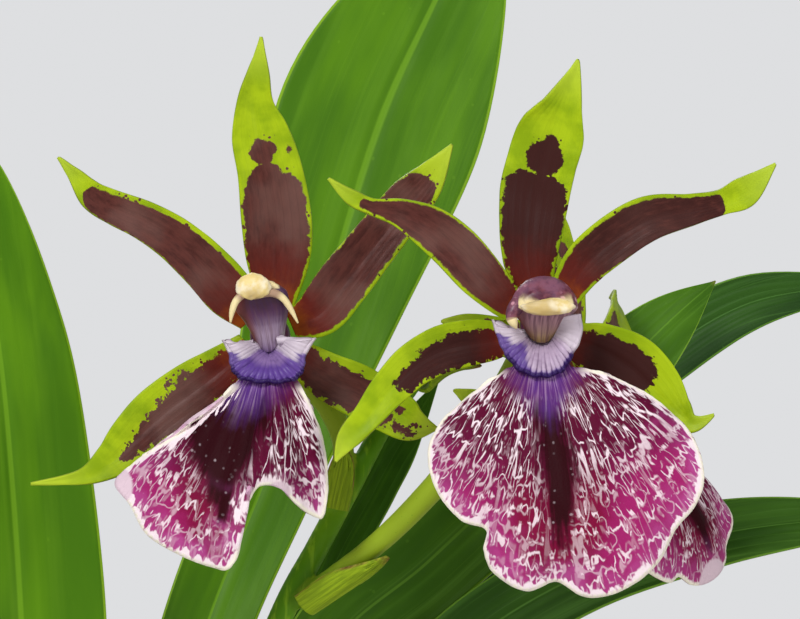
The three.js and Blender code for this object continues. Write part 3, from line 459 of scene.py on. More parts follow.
leftTepals = {
    "DorsalSepal": {
        "path": [(1, 1.2, 3.9), (1.3, 1.4, 12.1), (1.1, 1.4, 18.5), (0, 1, 26.6), (-1.6, 0.4, 33),
                 (-2.4, -0.4, 37.9), (-1.9, -1.6, 42.7), (-1.3, -3, 48.7)],
        "half": [2.6, 5.2, 5.9, 5.4, 4.8, 3.2, 1.9, 0.14],
        "curl": [4, 12, 22, 18, 18, 24, 24, 20],
        "margins": ([0.2, 0.2, 0.4, 1.0, 1.6, 2, 2], [0.4, 0.4, 0.5, 0.7, 1.4, 2, 2]),
        "reach": 0.425,
        "spots": [(0.505, -0.3, 2.2, 2.2), (0.49, 4.1, 0.45, 0.4), (0.405, -0.9, 2.8, 3.2)],
        "ragged": 0.7,
    },
    "PetalLeft": {
        "path": [(-3, -1.2, 2.6), (-6.3, -2, 6.6), (-10.5, -2.6, 11.3), (-15.3, -3, 15.6),
                 (-20.2, -3, 18.6), (-25, -2.8, 20.7), (-28.7, -3, 22.7), (-31.5, -3.6, 25.8),
                 (-34.4, -4.6, 29)],
        "half": [2.4, 4.1, 4.1, 3.7, 3.3, 2.9, 2.4, 1.3, 0.14],
        "curl": [4, 10, 18, 22, 24, 24, 24, 20, 20],
        "margins": ([0.1, 0.0, 0.0, 0.0, 0.0, 0.1, 0.6], [0.8, 0.8, 0.7, 0.7, 0.8, 0.8, 0.8]),
        "reach": 0.80,
        "ragged": 0.25,
        "rounding": 1.0,
    },
    "PetalRight": {
        "path": [(3.6, -1.2, 1.6), (8.2, -2, 3.8), (12.1, -2.4, 8.7), (16.1, -2.4, 13.7),
                 (19.7, -2.2, 18.2), (22.9, -2, 22.1), (26, -2.4, 25.6), (29.8, -3.6, 31.1)],
        "half": [2.4, 4, 4.4, 4.2, 4, 3.8, 2.8, 0.14],
        "curl": [4, 10, 18, 22, 24, 24, 22, 20],
        "margins": ([0.2, 0.0, 0.0, 0.0, 0.0, 0.1, 0.6], [0.6, 0.5, 0.4, 0.4, 0.5, 0.8, 1.4]),
        "reach": 0.86,
        "ragged": 0.4,
    },
    "LateralSepalLeft": {
        "path": [(-3.6, 1.2, -1.6), (-8.9, 1.2, -6.2), (-13.7, 1, -9.7), (-18.5, 0.6, -13.4),
                 (-22.6, 0, -17.3), (-26.1, -0.6, -20.6), (-30.8, -1.4, -23.2), (-39, -3, -24.2)],
        "half": [2.3, 4, 4.8, 4.8, 4.2, 3, 1.3, 0.14],
        "curl": [4, 8, 14, 18, 20, 22, 22, 20],
        "margins": ([0.5, 0.6, 0.8, 1.3, 1.8, 2.2, 2], [1.2, 1.6, 2.8, 3.8, 4.0, 3.4, 3]),
        "reach": 0.69,
        "spots": [(0.27, 2.6, 1.5, 0.9), (0.33, 3.3, 0.5, 0.4)],
        "ragged": 1.5,
    },
    "LateralSepalRight": {
        "path": [(3.3, 1.2, -2.3), (6.2, 1.2, -4.6), (9.7, 1, -6.9), (14.5, 0.6, -9.2), (19.4, 0, -12.1),
                 (23.4, -0.6, -14.5), (27.4, -1.6, -15.3)],
        "half": [2.3, 3.2, 4, 4.4, 4, 3, 0.14],
        "curl": [4, 8, 14, 18, 20, 22, 20],
        "margins": ([0.6, 0.9, 1.3, 1.8, 2.4, 3, 2], [0.3, 0.3, 0.4, 0.4, 0.3, 0.3, 0.6]),
        "reach": 0.56,
        "spots": [(0.68, 1.6, 1.6, 1.2), (0.78, 2.0, 2.4, 0.8), (0.72, -1.0, 0.9, 0.7),
                  (0.85, 0.2, 0.8, 0.6)],
        "ragged": 1.6,
    },
}
backTepals = {
    "DorsalSepal": {
        "path": [(0, 1.2, 3.9), (1, 1.6, 11), (3, 2.6, 18), (5.5, 4, 25), (8, 5.6, 30.5),
                 (10, 7.3, 34.7)],
        "half": [2.3, 4.2, 5, 4.6, 2.8, 0.14],
        "curl": [4, 12, 20, 18, 20, 20],
        "margins": ([0.6, 0.8, 1.0, 1.4, 2.0, 2], [0.6, 0.8, 1.0, 1.4, 2.0, 2]),
        "reach": 0.5,
        "spots": [(0.62, 0.2, 1.9, 1.9)],
    },
    "PetalRight": {
        "path": [(3.2, -1.2, 2.4), (8, -1, 7), (14, 1, 11), (20.5, 5, 14.5), (27, 10, 17.5),
                 (33, 15.5, 19.5)],
        "half": [2.2, 3.6, 4, 3.6, 2.4, 0.14],
        "curl": [4, 12, 20, 22, 22, 20],
        "margins": ([0.6, 0.6, 0.6, 0.8, 1.0, 1], [0.5, 0.4, 0.4, 0.6, 0.8, 1]),
        "reach": 0.46,
    },
    "PetalLeft": {
        "path": [(-3.2, -1.2, 2.4), (-7.5, -1.6, 5.5), (-12.5, -0.6, 8), (-18, 1, 10), (-23, 3, 12),
                 (-28, 4.7, 13.5)],
        "half": [2.2, 3.4, 3.8, 3.4, 2.4, 0.14],
        "curl": [4, 12, 20, 22, 22, 20],
        "margins": ([0.5, 0.4, 0.4, 0.4, 0.6, 1], [0.6, 0.6, 0.6, 0.6, 0.8, 1]),
        "reach": 0.74,
    },
    "LateralSepalRight": {
        "path": [(3.7, 1.2, -1.5), (8.5, 1.8, -3.6), (14, 3.4, -5), (19.5, 5.8, -5.4), (25, 8.6, -4.8),
                 (30, 11.4, -3.9)],
        "half": [2.3, 3.8, 4.6, 4.2, 2.6, 0.14],
        "curl": [4, 8, 14, 18, 20, 20],
        "margins": ([1.2, 1.5, 2.0, 2.4, 2.4, 2], [0.5, 0.5, 0.6, 0.8, 1.0, 1]),
        "reach": 0.6,
    },
    "LateralSepalLeft": {
        "path": [(-3.7, 1.2, -1.5), (-9, 1.6, -3), (-14.5, 2, -3.4), (-20, 2.4, -2.6), (-25, 2.6, -0.8),
                 (-30, 2.6, 1.5)],
        "half": [2.3, 3.6, 4.2, 3.8, 2.4, 0.14],
        "curl": [4, 8, 14, 18, 20, 20],
        "margins": ([0.5, 0.5, 0.6, 0.8, 1.0, 1], [1.2, 1.5, 2.0, 2.4, 2.4, 2]),
        "reach": 0.6,
    },
}


def stainOf(tepal, t, across, half):
    # millimetres inside the brown: above 0 in it, below 0 in the green round it
    length = bladeLength(tepal)
    low, high = (along(margin, t) for margin in tepal["margins"])
    band = np.minimum(half + across - low, half - across - high)
    # the far end of the brown is rounded
    rounding = tepal.get("rounding", 0.5) * half * (across / half) ** 4
    stain = np.minimum(band, (tepal["reach"] - t) * length - rounding)
    for share, sideways, long, wide in tepal.get("spots", []):
        gone = np.hypot((t - share) * length / long, (across - sideways) / wide)
        stain = np.maximum(stain, (1 - gone) * min(long, wide))
    return stain


def makeTepalFinish():
    look = tepalLook
    finish, tree = newFinish("tepalWax", roughness=0.42, shine=0.11)
    at = field(tree, "bladeAt", "Vector")
    stain = field(tree, "stain")
    share = field(tree, "share")
    ragged = field(tree, "ragged")
    front = ease(tree, field(tree, "front"), 0.4, 0.6)
    fringe = calc(tree, "SUBTRACT", noise(tree, at, 0.62, 3.0, 0.6), 0.5)
    fine = calc(tree, "SUBTRACT", noise(tree, at, 2.0, 1.0, 0.5), 0.5)
    edge = timesPlus(tree, fringe, times(tree, ragged, 2.8), stain)
    edge = timesPlus(tree, fine, times(tree, ragged, 0.7), edge)
    solid = ease(tree, edge, -0.12, 0.16)
    # loose dots beyond the brown's border
    dot = cells(tree, at, 1.15)
    near = ease(tree, stain, -1.9, 0.1)
    wanted = ease(tree, noise(tree, at, 0.33, 1.0), 0.5, 0.62)
    size = times(tree, times(tree, near, wanted), 0.34)
    dots = ease(tree, calc(tree, "SUBTRACT", size, dot), -0.05, 0.05)
    brownness = calc(tree, "MAXIMUM", solid, dots)
    # green, deeper in its veins and paler at the tip
    vein = absolute(tree, calc(tree, "SINE", times(tree, field(tree, "vein"), math.pi)))
    shadow = noise(tree, at, 0.16, 3.0)
    green = tint(tree, look["green"], look["deepGreen"], shadow, 0.35, 0.65)
    green = tint(tree, green, look["tipGreen"], share, 0.78, 1.0, 0.7)
    veined = times(tree, ease(tree, vein, 0.3, 0.0, 0.0, 0.22), ease(tree, share, 0.85, 0.6))
    green = blend(tree, veined, green, look["deepGreen"])
    # brown, with painted grey sheen patches on it, darker flecks and a red glow at the claw
    flecks = streaks(tree, at, (1.1, 0.35, 1), 4.0, 0.6)
    shade = timesPlus(tree, flecks, 1.1, field(tree, "depth"))
    brown = tint(tree, look["brown"], look["dusk"], shade, 0.45, 1.0)
    # painted sheen: paler grey patches where light glances off the brown, weaker on the deeper tepals
    paintedSheen = times(tree, ease(tree, noise(tree, at, 0.09, 2.0), 0.40, 0.66),
                    ease(tree, field(tree, "depth"), 0.5, 0.0, 0.0, 0.7))
    brown = blend(tree, paintedSheen, brown, look["bloomGrey"])
    brown = tint(tree, brown, look["dusk"], vein, 0.25, 0.0, 0.16)
    heat = timesPlus(tree, fringe, 0.10, share)
    brown = tint(tree, brown, look["ember"], heat, 0.27, 0.08, 0.75)
    brown = tint(tree, brown, look["glow"], heat, 0.12, 0.02, 0.85)
    face = blend(tree, brownness, green, brown)
    back = tint(tree, look["reverse"], look["reverseBrown"], stain, -0.4, 1.6, 0.75)
    back = tint(tree, back, look["reverse"], vein, 0.3, 0.0, 0.35)
    connect(tree, ease(tree, flecks, 0.25, 0.75, 0.36, 0.52), "Roughness")
    ribs = times(tree, vein, ease(tree, share, 0.85, 0.6, 0.0, 0.5))
    grain = timesPlus(tree, noise(tree, at, 3.2, 2.0), 0.35, ribs)
    grain = timesPlus(tree, brownness, 0.25, grain)
    return cover(finish, blend(tree, front, back, face), grain, 0.09, 0.55)


def makeTepal(bloom, name, tepal, finish, seed):
    look = tepalLook
    faced = {"face": [(0, -1, 0), (0, -1, 0)], "wave": look["wave"], **tepal}
    middle, t, u, half, down = bladeGrid(faced, look)
    normal = gridNormals(middle)
    across = u * half
    veins = u * look["veins"] / 2
    broad = smoothStep(1.5, 4.5, half)
    relief = look["veinHeight"] * np.cos(2 * math.pi * veins) * smoothStep(0, 0.1, t) * broad
    relief -= look["grooveDepth"] * np.exp(-(across / 0.8) ** 2) * smoothStep(1, 0.6, t) * broad
    relief += look["swell"] * softNoise(seed, across * 0.35, down * 0.22) * smoothStep(0, 0.15, t)
    relief += look["marginSwell"] * np.abs(u) ** 3 * softNoise(seed + 1, down * 0.4, u * 1.5) * broad
    middle = middle + normal * relief[..., None]
    thickness = thinned(look["thickness"], u, t, 0.5)
    fields = {
        "bladeAt": flatAt(across + 37.0 * seed, down),
        "stain": stainOf(tepal, t, across, half),
        "share": t,
        "vein": veins + 40,
        "ragged": tepal.get("ragged", 0.8),
        "depth": tepal.get("depth", 0.1),
    }
    piece = sheetPiece(bloom + "Bloom" + name, placed(middle, bloom), thickness, fields)
    dress(piece, finish, "tepal", nodeName(piece.name))


tepalFinish = makeTepalFinish()
tepals = {"right": rightTepals, "left": leftTepals, "back": backTepals}
for number, bloom in enumerate(tepals):
    for order, (name, tepal) in enumerate(tepals[bloom].items()):
        makeTepal(bloom, name, tepal, tepalFinish, seed=11 + 5 * number + order)
print("tepals made")


# Lips. The claw leaves the seat, passes under the column and spreads from the neck to a wavy rim. The rim
# is x and z points from the upper left shoulder round the bottom to the upper right one.
lipLook = {
    "rows": 60,
    "columns": 220,
    "thickness": 0.9,
    "claw": {"half": 2.9, "y": -1.5, "z": -3.9},
    "neck": {"half": 4.6, "y": -8.5, "z": -6.6, "sag": 0.9},
    "clawShare": 0.2,
    "bulge": 2.2,
    "ripple": (0.5, 5),
    "crimp": 0.22,
    "crease": 0.13,
    "creases": 34,
    "swell": 0.45,
    "fanTop": 0.5,
    "fanReach": 14.0,
    "violet": "#7b539c",
    "deepViolet": "#563080",
    "paleViolet": "#b496c6",
    "heart": "#2e070f",
    "maroon": "#5a0c2e",
    "crimson": "#7c0f38",
    "magenta": "#9c2264",
    "pink": "#b8559a",
    "white": "#f1dfe6",
    "rim": "#f3ecd9",
    "reverse": "#dcc3cf",
}
openLip = {
    "rim": [(-8.6, -8.6), (-12.4, -12), (-16.4, -15.8), (-18.2, -20.6), (-16.9, -26), (-13, -30.8),
            (-9, -32.4), (-9.2, -35.8), (-7.4, -39.4), (-2.6, -42), (2.2, -40.6), (6.6, -42.9),
            (11, -42.6), (15.4, -40.2), (18.8, -36.8), (21, -32.6), (24.4, -28.4), (25.6, -23.4),
            (23.4, -17), (17, -11.2), (9.8, -7.4)],
    "forward": [0, 0.4, 1.6, 3, 4, 4.6, 4.4, 5, 5.6, 6, 5.4, 6, 6, 5.8, 5.2, 4.4, 4, 3, 1.6, 0.4, 0],
    "width": 1,
    "heart": [(0.8, -14), (2.0, -19), (2.5, -24), (2.7, -29), (2.8, -34.5)],
    "heartHalf": [2.2, 2.8, 2.9, 2.3, 1.1],
    "crimsonHalf": [6.5, 8, 8.5, 8.5, 7],
    "marginWide": 1.15,
    "neckLong": 1.8,
    "flaps": [],
}
foldedLip = {
    "rim": [(-8, -10.6), (-11.6, -13.6), (-16.1, -16.9), (-21.8, -20.6), (-25, -24), (-22.4, -27.6),
            (-19.4, -32.3), (-13.7, -35.6), (-9, -37.2), (-6.1, -37.4), (-4.4, -33.4), (-3.7, -27.6),
            (-1.4, -24.2), (1.7, -24.4), (4.8, -27.4), (7.2, -29.2), (8.9, -29.4), (9.6, -25), (9.2, -20),
            (8, -15), (6.6, -10.6)],
    "forward": [0, -0.4, -1, -2, -2.4, 0, 3, 5, 6.4, 7, 7.4, 7.6, 7, 6, 4, 2, 1, 0.4, 0, 0, 0],
    "width": 0.92,
    "heart": [(-4.2, -12.5), (-6.8, -15.8), (-7.2, -19.5), (-7.4, -24), (-7.3, -29)],
    "heartHalf": [5.2, 6.2, 4.8, 2.9, 1.2],
    "crimsonHalf": [8, 9, 8, 7.5, 6.5],
    "marginWide": 1.4,
    "neckLong": -0.9,
    "flaps": [(-25.2, -24.6, 3.6), (1.6, -25.2, 2.2)],
}
turnedLip = {
    "rim": [(-7.6, -8.6), (-10.6, -11), (-14, -13.8), (-15.6, -17.8), (-14.4, -22.4), (-11, -26.4),
            (-7.8, -28), (-7.8, -30), (-6.2, -32.6), (-2.2, -34.4), (1.9, -33.4), (5.6, -35),
            (9.4, -34.8), (13, -33), (16, -30.8), (18.2, -28.6), (20.4, -25.6), (20.6, -22), (17.6, -18),
            (13, -13.6), (8.4, -9.4)],
    "forward": [0, 0.4, 1.4, 2.6, 3.4, 3.8, 3.8, 4.2, 4.8, 5, 4.6, 5, 5, 4.8, 4.4, 3.8, 3.4, 2.6, 1.4,
                0.4, 0],
    "width": 0.92,
    "heart": [(0.3, -9), (2, -14), (5, -19), (8, -24), (9.5, -29)],
    "heartHalf": [2.2, 2.8, 3.2, 2.6, 0.9],
    "crimsonHalf": [7, 8, 9, 8, 6],
    "marginWide": 0.7,
    "neckLong": 0.0,
    "flaps": [(11, -34.8, 4.2)],
}


def lipGrid(lip):
    look = lipLook
    rows, columns = look["rows"], look["columns"]
    claw, neck, share = look["claw"], look["neck"], look["clawShare"]
    t = np.linspace(0, 1, rows + 1)[:, None] * np.ones(columns + 1)
    u = np.linspace(-1, 1, columns + 1)[None] * np.ones((rows + 1, 1))
    across = (u + 1) / 2
    fullness = np.sin(math.pi * across)
    start = np.stack([claw["half"] * u, np.full_like(u, claw["y"]), np.full_like(u, claw["z"])], -1)
    middle = np.stack([neck["half"] * u * lip["width"], np.full_like(u, neck["y"]),
                       neck["z"] - neck["sag"] * fullness], -1)
    early = start + (middle - start) * (t / share)[..., None]
    part = np.clip((t - share) / (1 - share), 0, 1)
    rim = along(lip["rim"], across)
    end = np.stack([rim[..., 0], np.full_like(u, neck["y"]), rim[..., 1]], -1)
    late = middle + (end - middle) * part[..., None]
    size, count = look["ripple"]
    ripple = size * np.sin(2 * math.pi * count * across)
    forward = along(lip["forward"], across) + look["bulge"] * fullness * np.sin(math.pi * part)
    late[..., 1] -= forward * np.sin(math.pi / 2 * part) + ripple * part ** 2
    return np.where((t < share)[..., None], early, late), t, across, part


def rimDistance(middle):
    # millimetres from each point of a lip to its free edge
    edge = np.concatenate([middle[12:, 0], middle[-1], middle[12:, -1]])[::2]
    gone = [np.linalg.norm(row[:, None] - edge[None], axis=-1).min(1) for row in middle]
    return np.array(gone)


def thinLines(tree, vector, scale, shift, low, high, distortion):
    # wandering lines, where a stretched noise crosses its middle value
    crossing = noise(tree, scaled(tree, vector, scale, shift), 1.0, 1.5, 0.5, distortion)
    crossing = absolute(tree, calc(tree, "SUBTRACT", crossing, 0.5))
    return ease(tree, crossing, high, low)


def makeLipFinish():
    look = lipLook
    finish, tree = newFinish("lipVelvet", roughness=0.55, shine=0.05)
    fan, at = field(tree, "fan", "Vector"), field(tree, "lipAt", "Vector")
    reach, edge, heart, crimson = (field(tree, key) for key in ("reach", "edge", "heart", "crimson"))
    front = ease(tree, field(tree, "front"), 0.4, 0.6)
    drift = noise(tree, at, 0.35, 3.0)
    patches = noise(tree, at, 0.16, 2.0)
    rays = streaks(tree, fan, (1.9, 0.09, 1), 2.0)
    # ground: maroon near the neck, a near-black heart, crimson round it and magenta to pink outwards
    ground = tint(tree, look["magenta"], look["crimson"], timesPlus(tree, drift, 5.0, crimson), 0.5, 5.5)
    outer = ease(tree, timesPlus(tree, drift, 8.0, edge), 9.5, 5.0, 0.0, 0.4)
    ground = blend(tree, outer, ground, look["pink"])
    ground = tint(tree, ground, look["maroon"], timesPlus(tree, drift, 11.0, reach), 38.5, 25.5)
    fringe = timesPlus(tree, drift, 2.5, times(tree, rays, 5.0))
    ground = tint(tree, ground, look["heart"], calc(tree, "ADD", heart, fringe), 2.8, 5.4)
    # white veins: long ones above, a net of loops in the middle and short dashes towards the rim
    longer = thinLines(tree, fan, (1.25, 0.08, 1), (0, 0, 0), 0.008, 0.032, 0.1)
    looped = thinLines(tree, fan, (0.9, 0.2, 1), (5, 3, 0), 0.007, 0.030, 0.15)
    dashes = thinLines(tree, fan, (1.9, 0.26, 1), (8, 1, 0), 0.010, 0.052, 0.1)
    held = streaks(tree, fan, (0.45, 0.22, 1), 2.0, shift=(2, 7, 0))
    longer = times(tree, longer, ease(tree, held, 0.43, 0.49))
    looped = times(tree, looped, ease(tree, held, 0.60, 0.54))
    broken = streaks(tree, fan, (1.2, 0.4, 1), 1.0, shift=(4, 4, 0))
    looped = times(tree, looped, ease(tree, broken, 0.38, 0.46))
    outward = ease(tree, timesPlus(tree, drift, 8.0, reach), 25.0, 34.0)
    longer = times(tree, longer, timesPlus(tree, outward, -0.8, 1.0))
    looped = times(tree, looped, timesPlus(tree, outward, -0.6, 1.0))
    parted = streaks(tree, fan, (0.8, 0.5, 1), 2.0, shift=(1, 9, 0))
    dashes = times(tree, dashes, ease(tree, parted, 0.44, 0.56, 0.0, 0.85))
    dashes = times(tree, dashes, timesPlus(tree, outward, 0.8, 0.2))
    pale = calc(tree, "MAXIMUM", calc(tree, "MAXIMUM", longer, looped), dashes)
    clear = timesPlus(tree, rays, 4.0, heart)
    kept = times(tree, ease(tree, reach, 11.0, 14.5), ease(tree, clear, 2.8, 0.4))
    pale = times(tree, pale, kept)
    # a few dots stray into the heart and the crimson round it
    dots = times(tree, ease(tree, cells(tree, scaled(tree, fan, (1.25, 0.75, 1)), 1.0), 0.24, 0.08),
                 ease(tree, drift, 0.42, 0.62, 0.05, 0.3))
    dots = times(tree, dots, times(tree, ease(tree, heart, -6.0, -3.0), ease(tree, reach, 15.0, 19.0)))
    pale = calc(tree, "MAXIMUM", pale, dots)
    # soft pink clouds under the net, strongest near the rim
    clouds = times(tree, ease(tree, patches, 0.48, 0.62), ease(tree, edge, 9.0, 1.0, 0.0, 0.4))
    ground = blend(tree, times(tree, clouds, outward), ground, look["pink"])
    skin = blend(tree, pale, ground, look["white"])
    # violet neck with pale streaks, longest in its middle
    neck = tint(tree, look["deepViolet"], look["violet"], rays, 0.42, 0.6)
    neck = tint(tree, neck, look["paleViolet"], rays, 0.5, 0.64, 0.85)
    ended = timesPlus(tree, rays, 6.0, timesPlus(tree, drift, 3.0, reach))
    ended = calc(tree, "SUBTRACT", timesPlus(tree, heart, -0.65, ended), field(tree, "neckLong"))
    skin = tint(tree, skin, neck, ended, 19.5, 12.0)
    # white rim with fingers that reach inwards
    fingers = noise(tree, scaled(tree, fan, (1.9, 0.3, 1)), 1.0, 2.0, 0.5, 0.4)
    deep = times(tree, field(tree, "marginWide"), ease(tree, fingers, 0.35, 0.72, 0.4, 1.5))
    margin = ease(tree, calc(tree, "SUBTRACT", edge, deep), 0.22, -0.22)
    pastNeck = ease(tree, reach, 9.0, 12.0)
    skin = blend(tree, times(tree, margin, pastNeck), skin, look["white"])
    skin = blend(tree, times(tree, ease(tree, edge, 0.8, 0.3), pastNeck), skin, look["rim"])
    flap = ease(tree, field(tree, "flap"), 0.0, 0.6)
    back = tint(tree, look["reverse"], look["pink"], noise(tree, at, 0.5, 3.0), 0.4, 0.7, 0.5)
    skin = blend(tree, flap, skin, look["reverse"])
    height = timesPlus(tree, cells(tree, at, 3.2), 0.4, times(tree, pale, 0.6))
    height = timesPlus(tree, rays, 1.6, height)
    return cover(finish, blend(tree, front, back, skin), height, 0.12, 0.6)


def makeLip(bloom, lip, finish, seed):
    look = lipLook
    middle, t, across, part = lipGrid(lip)
    x, z = middle[..., 0], middle[..., 2]
    down = look["fanTop"] - z
    angle, reach = np.arctan2(x, down), np.hypot(x, down)
    creases = look["crease"] * np.sin(angle * look["creases"] + 1.4 * softNoise(seed, reach * 0.12))
    creases *= smoothStep(0.02, 0.25, part)
    creases *= smoothStep(1, 0.6, part)
    crimps = look["crimp"] * part ** 4 * softNoise(seed + 1, across * 95, part)
    swell = look["swell"] * softNoise(seed + 2, x * 0.16, z * 0.16) * smoothStep(0.1, 0.5, part)
    edge = rimDistance(middle)
    middle = middle + gridNormals(middle) * (creases + crimps + swell)[..., None]
    inHeart, inCrimson = np.full(x.shape, -99.0), np.full(x.shape, -99.0)
    for share in np.linspace(0, 1, 60):
        hx, hz = along(lip["heart"], share)
        gone = np.hypot(x - hx, z - hz)
        inHeart = np.maximum(inHeart, along(lip["heartHalf"], share) - gone)
        inCrimson = np.maximum(inCrimson, along(lip["crimsonHalf"], share) - gone)
    flap = np.full(x.shape, -9.0)
    for fx, fz, size in lip["flaps"]:
        flap = np.maximum(flap, size - np.hypot(x - fx, z - fz))
    offset = 53.0 * seed
    fields = {
        "fan": flatAt(angle * look["fanReach"] + offset, reach),
        "lipAt": flatAt(x + offset, z),
        "reach": reach,
        "edge": edge,
        "heart": inHeart,
        "crimson": inCrimson,
        "marginWide": lip["marginWide"],
        "neckLong": lip["neckLong"],
        "flap": flap,
    }
    thickness = look["thickness"] * (1 - 0.45 * smoothStep(2.5, 0, edge) * smoothStep(0.1, 0.3, part))
    piece = sheetPiece(bloom + "BloomLip", placed(middle, bloom), thickness, fields, facing=-1)
    dress(piece, finish, "lip", bloom + "_bloom_lip")


lips = {"right": openLip, "left": foldedLip, "back": turnedLip}
lipFinish = makeLipFinish()
for number, (bloom, lip) in enumerate(lips.items()):
    makeLip(bloom, lip, lipFinish, seed=3 + 7 * number)
print("lips made")


# The frilled callus, as x and z points from its left horn under the column to its right horn
callusLook = {
    "rows": 24,
    "throat": 0.6,
    "plunge": 3.0,
    "columns": 260,
    "thickness": 1.0,
    "ridges": 11,
    "ridgeHeight": 0.35,
    "fineRidges": 29,
    "fineHeight": 0.2,
    "swell": 0.9,
    "depth": {"horn": -9.2, "base": -6.7, "brim": -10.4},
    "white": "#cbbdca",
    "crest": "#b7a2bb",
    "lilac": "#8567a4",
    "violet": "#563789",
    "groove": "#38195e",
    "grooveMauve": "#583a5e",
    "brim": "#2f1656",
    "throatTan": "#6d5560",
}
openCallus = {
    "outer": [(-7.9, 0.9), (-7.1, -1.6), (-5.8, -4.6), (-3.5, -7.2), (-0.1, -8.2), (3.0, -7.4),
              (4.8, -4.8), (6.3, -1.3), (6.1, 1.8)],
    "inner": [(-5, -0.5), (-3.9, -1.3), (-2.9, -2.4), (-1.6, -3.5), (0, -3.9), (1.5, -3.4), (2.4, -2),
              (2.9, 0), (2.7, 1.5)],
    "whiteness": 1.0,
}
foldedCallus = {
    "outer": [(-7.4, -0.7), (-6.3, -3.0), (-5.9, -5.4), (-4.3, -7.0), (0, -7.6), (4.1, -7.2), (5.6, -5.6),
              (6.0, -3.2), (7.7, -0.4)],
    "inner": [(-5, -1.2), (-3.6, -1.8), (-2.7, -3.2), (-1.4, -4.1), (0, -4.3), (1.3, -4), (2.3, -3),
              (3, -1.2), (3.7, -0.7)],
    "whiteness": 0.15,
}


def makeCallusFinish():
    look = callusLook
    finish, tree = newFinish("callusPorcelain", roughness=0.38, shine=0.25)
    at = field(tree, "callusAt", "Vector")
    around = field(tree, "around")
    outward = field(tree, "outward")
    whiteness = field(tree, "whiteness")
    wobble = noise(tree, at, 0.6, 2.0)
    ridge = calc(tree, "COSINE", times(tree, around, 2 * math.pi * look["fineRidges"]))
    ridge = timesPlus(tree, calc(tree, "SUBTRACT", wobble, 0.5), 1.2, ridge)
    aside = absolute(tree, calc(tree, "SUBTRACT", around, 0.5))
    lobe = ease(tree, timesPlus(tree, wobble, 0.08, aside), 0.27, 0.34)
    # pale crests between mauve or violet grooves, in the middle
    crest = blend(tree, whiteness, look["lilac"], look["crest"])
    groove = blend(tree, whiteness, look["groove"], look["grooveMauve"])
    skin = tint(tree, groove, crest, ridge, 0.15, 1.1)
    # smooth white lobes at both ends, and violet that spreads inwards from the brim, most on the left
    skin = blend(tree, lobe, skin, look["white"])
    limit = timesPlus(tree, ease(tree, around, 0.30, 0.46), times(tree, whiteness, 0.75), 0.06)
    limit = timesPlus(tree, lobe, 0.40, limit)
    limit = calc(tree, "ADD", limit, ease(tree, aside, 0.34, 0.44))
    spread = calc(tree, "SUBTRACT", timesPlus(tree, wobble, 0.35, outward), limit)
    spread = ease(tree, timesPlus(tree, ridge, -0.06, spread), 0.06, 0.38, 0.0, 0.92)
    skin = blend(tree, spread, skin, look["violet"])
    line = times(tree, ease(tree, ridge, -0.2, -0.9, 0.0, 0.75), ease(tree, lobe, 0.6, 0.0))
    skin = blend(tree, line, skin, look["groove"])
    skin = blend(tree, times(tree, ease(tree, outward, 0.86, 0.96), ease(tree, lobe, 0.8, 0.1)), skin,
                 look["brim"])
    return cover(finish, skin, timesPlus(tree, ridge, 0.5, wobble), 0.10, 0.5)


def makeCallus(bloom, callus, finish, seed):
    look = callusLook
    # its rows run from the throat under the column, below 0, out to the brim at 1
    t = np.linspace(-look["throat"], 1, look["rows"] + 1)[:, None] * np.ones(look["columns"] + 1)
    across = np.linspace(0, 1, look["columns"] + 1)[None] * np.ones_like(t)
    low = np.sin(math.pi * across)
    depth = look["depth"]
    outer, inner = along(callus["outer"], across), along(callus["inner"], across)
    innerY = depth["horn"] + (depth["base"] - depth["horn"]) * low
    start = np.stack([inner[..., 0], innerY, inner[..., 1]], -1)
    end = np.stack([outer[..., 0], np.full_like(innerY, depth["brim"]), outer[..., 1]], -1)
    middle = start + (end - start) * t[..., None]
    central = smoothStep(0.36, 0.24, abs(across - 0.5))
    ridge = look["ridgeHeight"] * np.cos(2 * math.pi * look["ridges"] * across) * (0.25 + 0.75 * central)
    fine = look["fineHeight"] * np.cos(2 * math.pi * look["fineRidges"] * across) * central
    raised = np.sin(math.pi * np.clip(t + 0.15, 0, 1))
    middle[..., 1] -= raised * look["swell"]
    middle[..., 1] -= np.maximum(raised, 0.5 * smoothStep(-0.5, 0, t)) * (0.5 * ridge + fine)
    middle[..., 1] += look["plunge"] * np.maximum(-t, 0) * low
    outward = outer - inner
    outward = unit(np.stack([outward[..., 0], 0 * low, outward[..., 1]], -1))
    middle += outward * (0.35 * ridge * np.maximum(t, 0))[..., None]
    fields = {
        "callusAt": middle + np.array([31.0 * seed, 0, 0]),
        "around": across,
        "outward": t,
        "whiteness": callus["whiteness"],
    }
    thickness = np.full_like(t, look["thickness"]) * (1 - 0.4 * smoothStep(0.7, 1, t))
    piece = sheetPiece(bloom + "BloomCallus", placed(middle, bloom), thickness, fields, facing=-1)
    dress(piece, finish, "callus", bloom + "_bloom_callus")


callusFinish = makeCallusFinish()
calluses = {"right": openCallus, "left": foldedCallus, "back": openCallus}
for number, (bloom, callus) in enumerate(calluses.items()):
    makeCallus(bloom, callus, callusFinish, seed=5 + number)
print("calluses made")
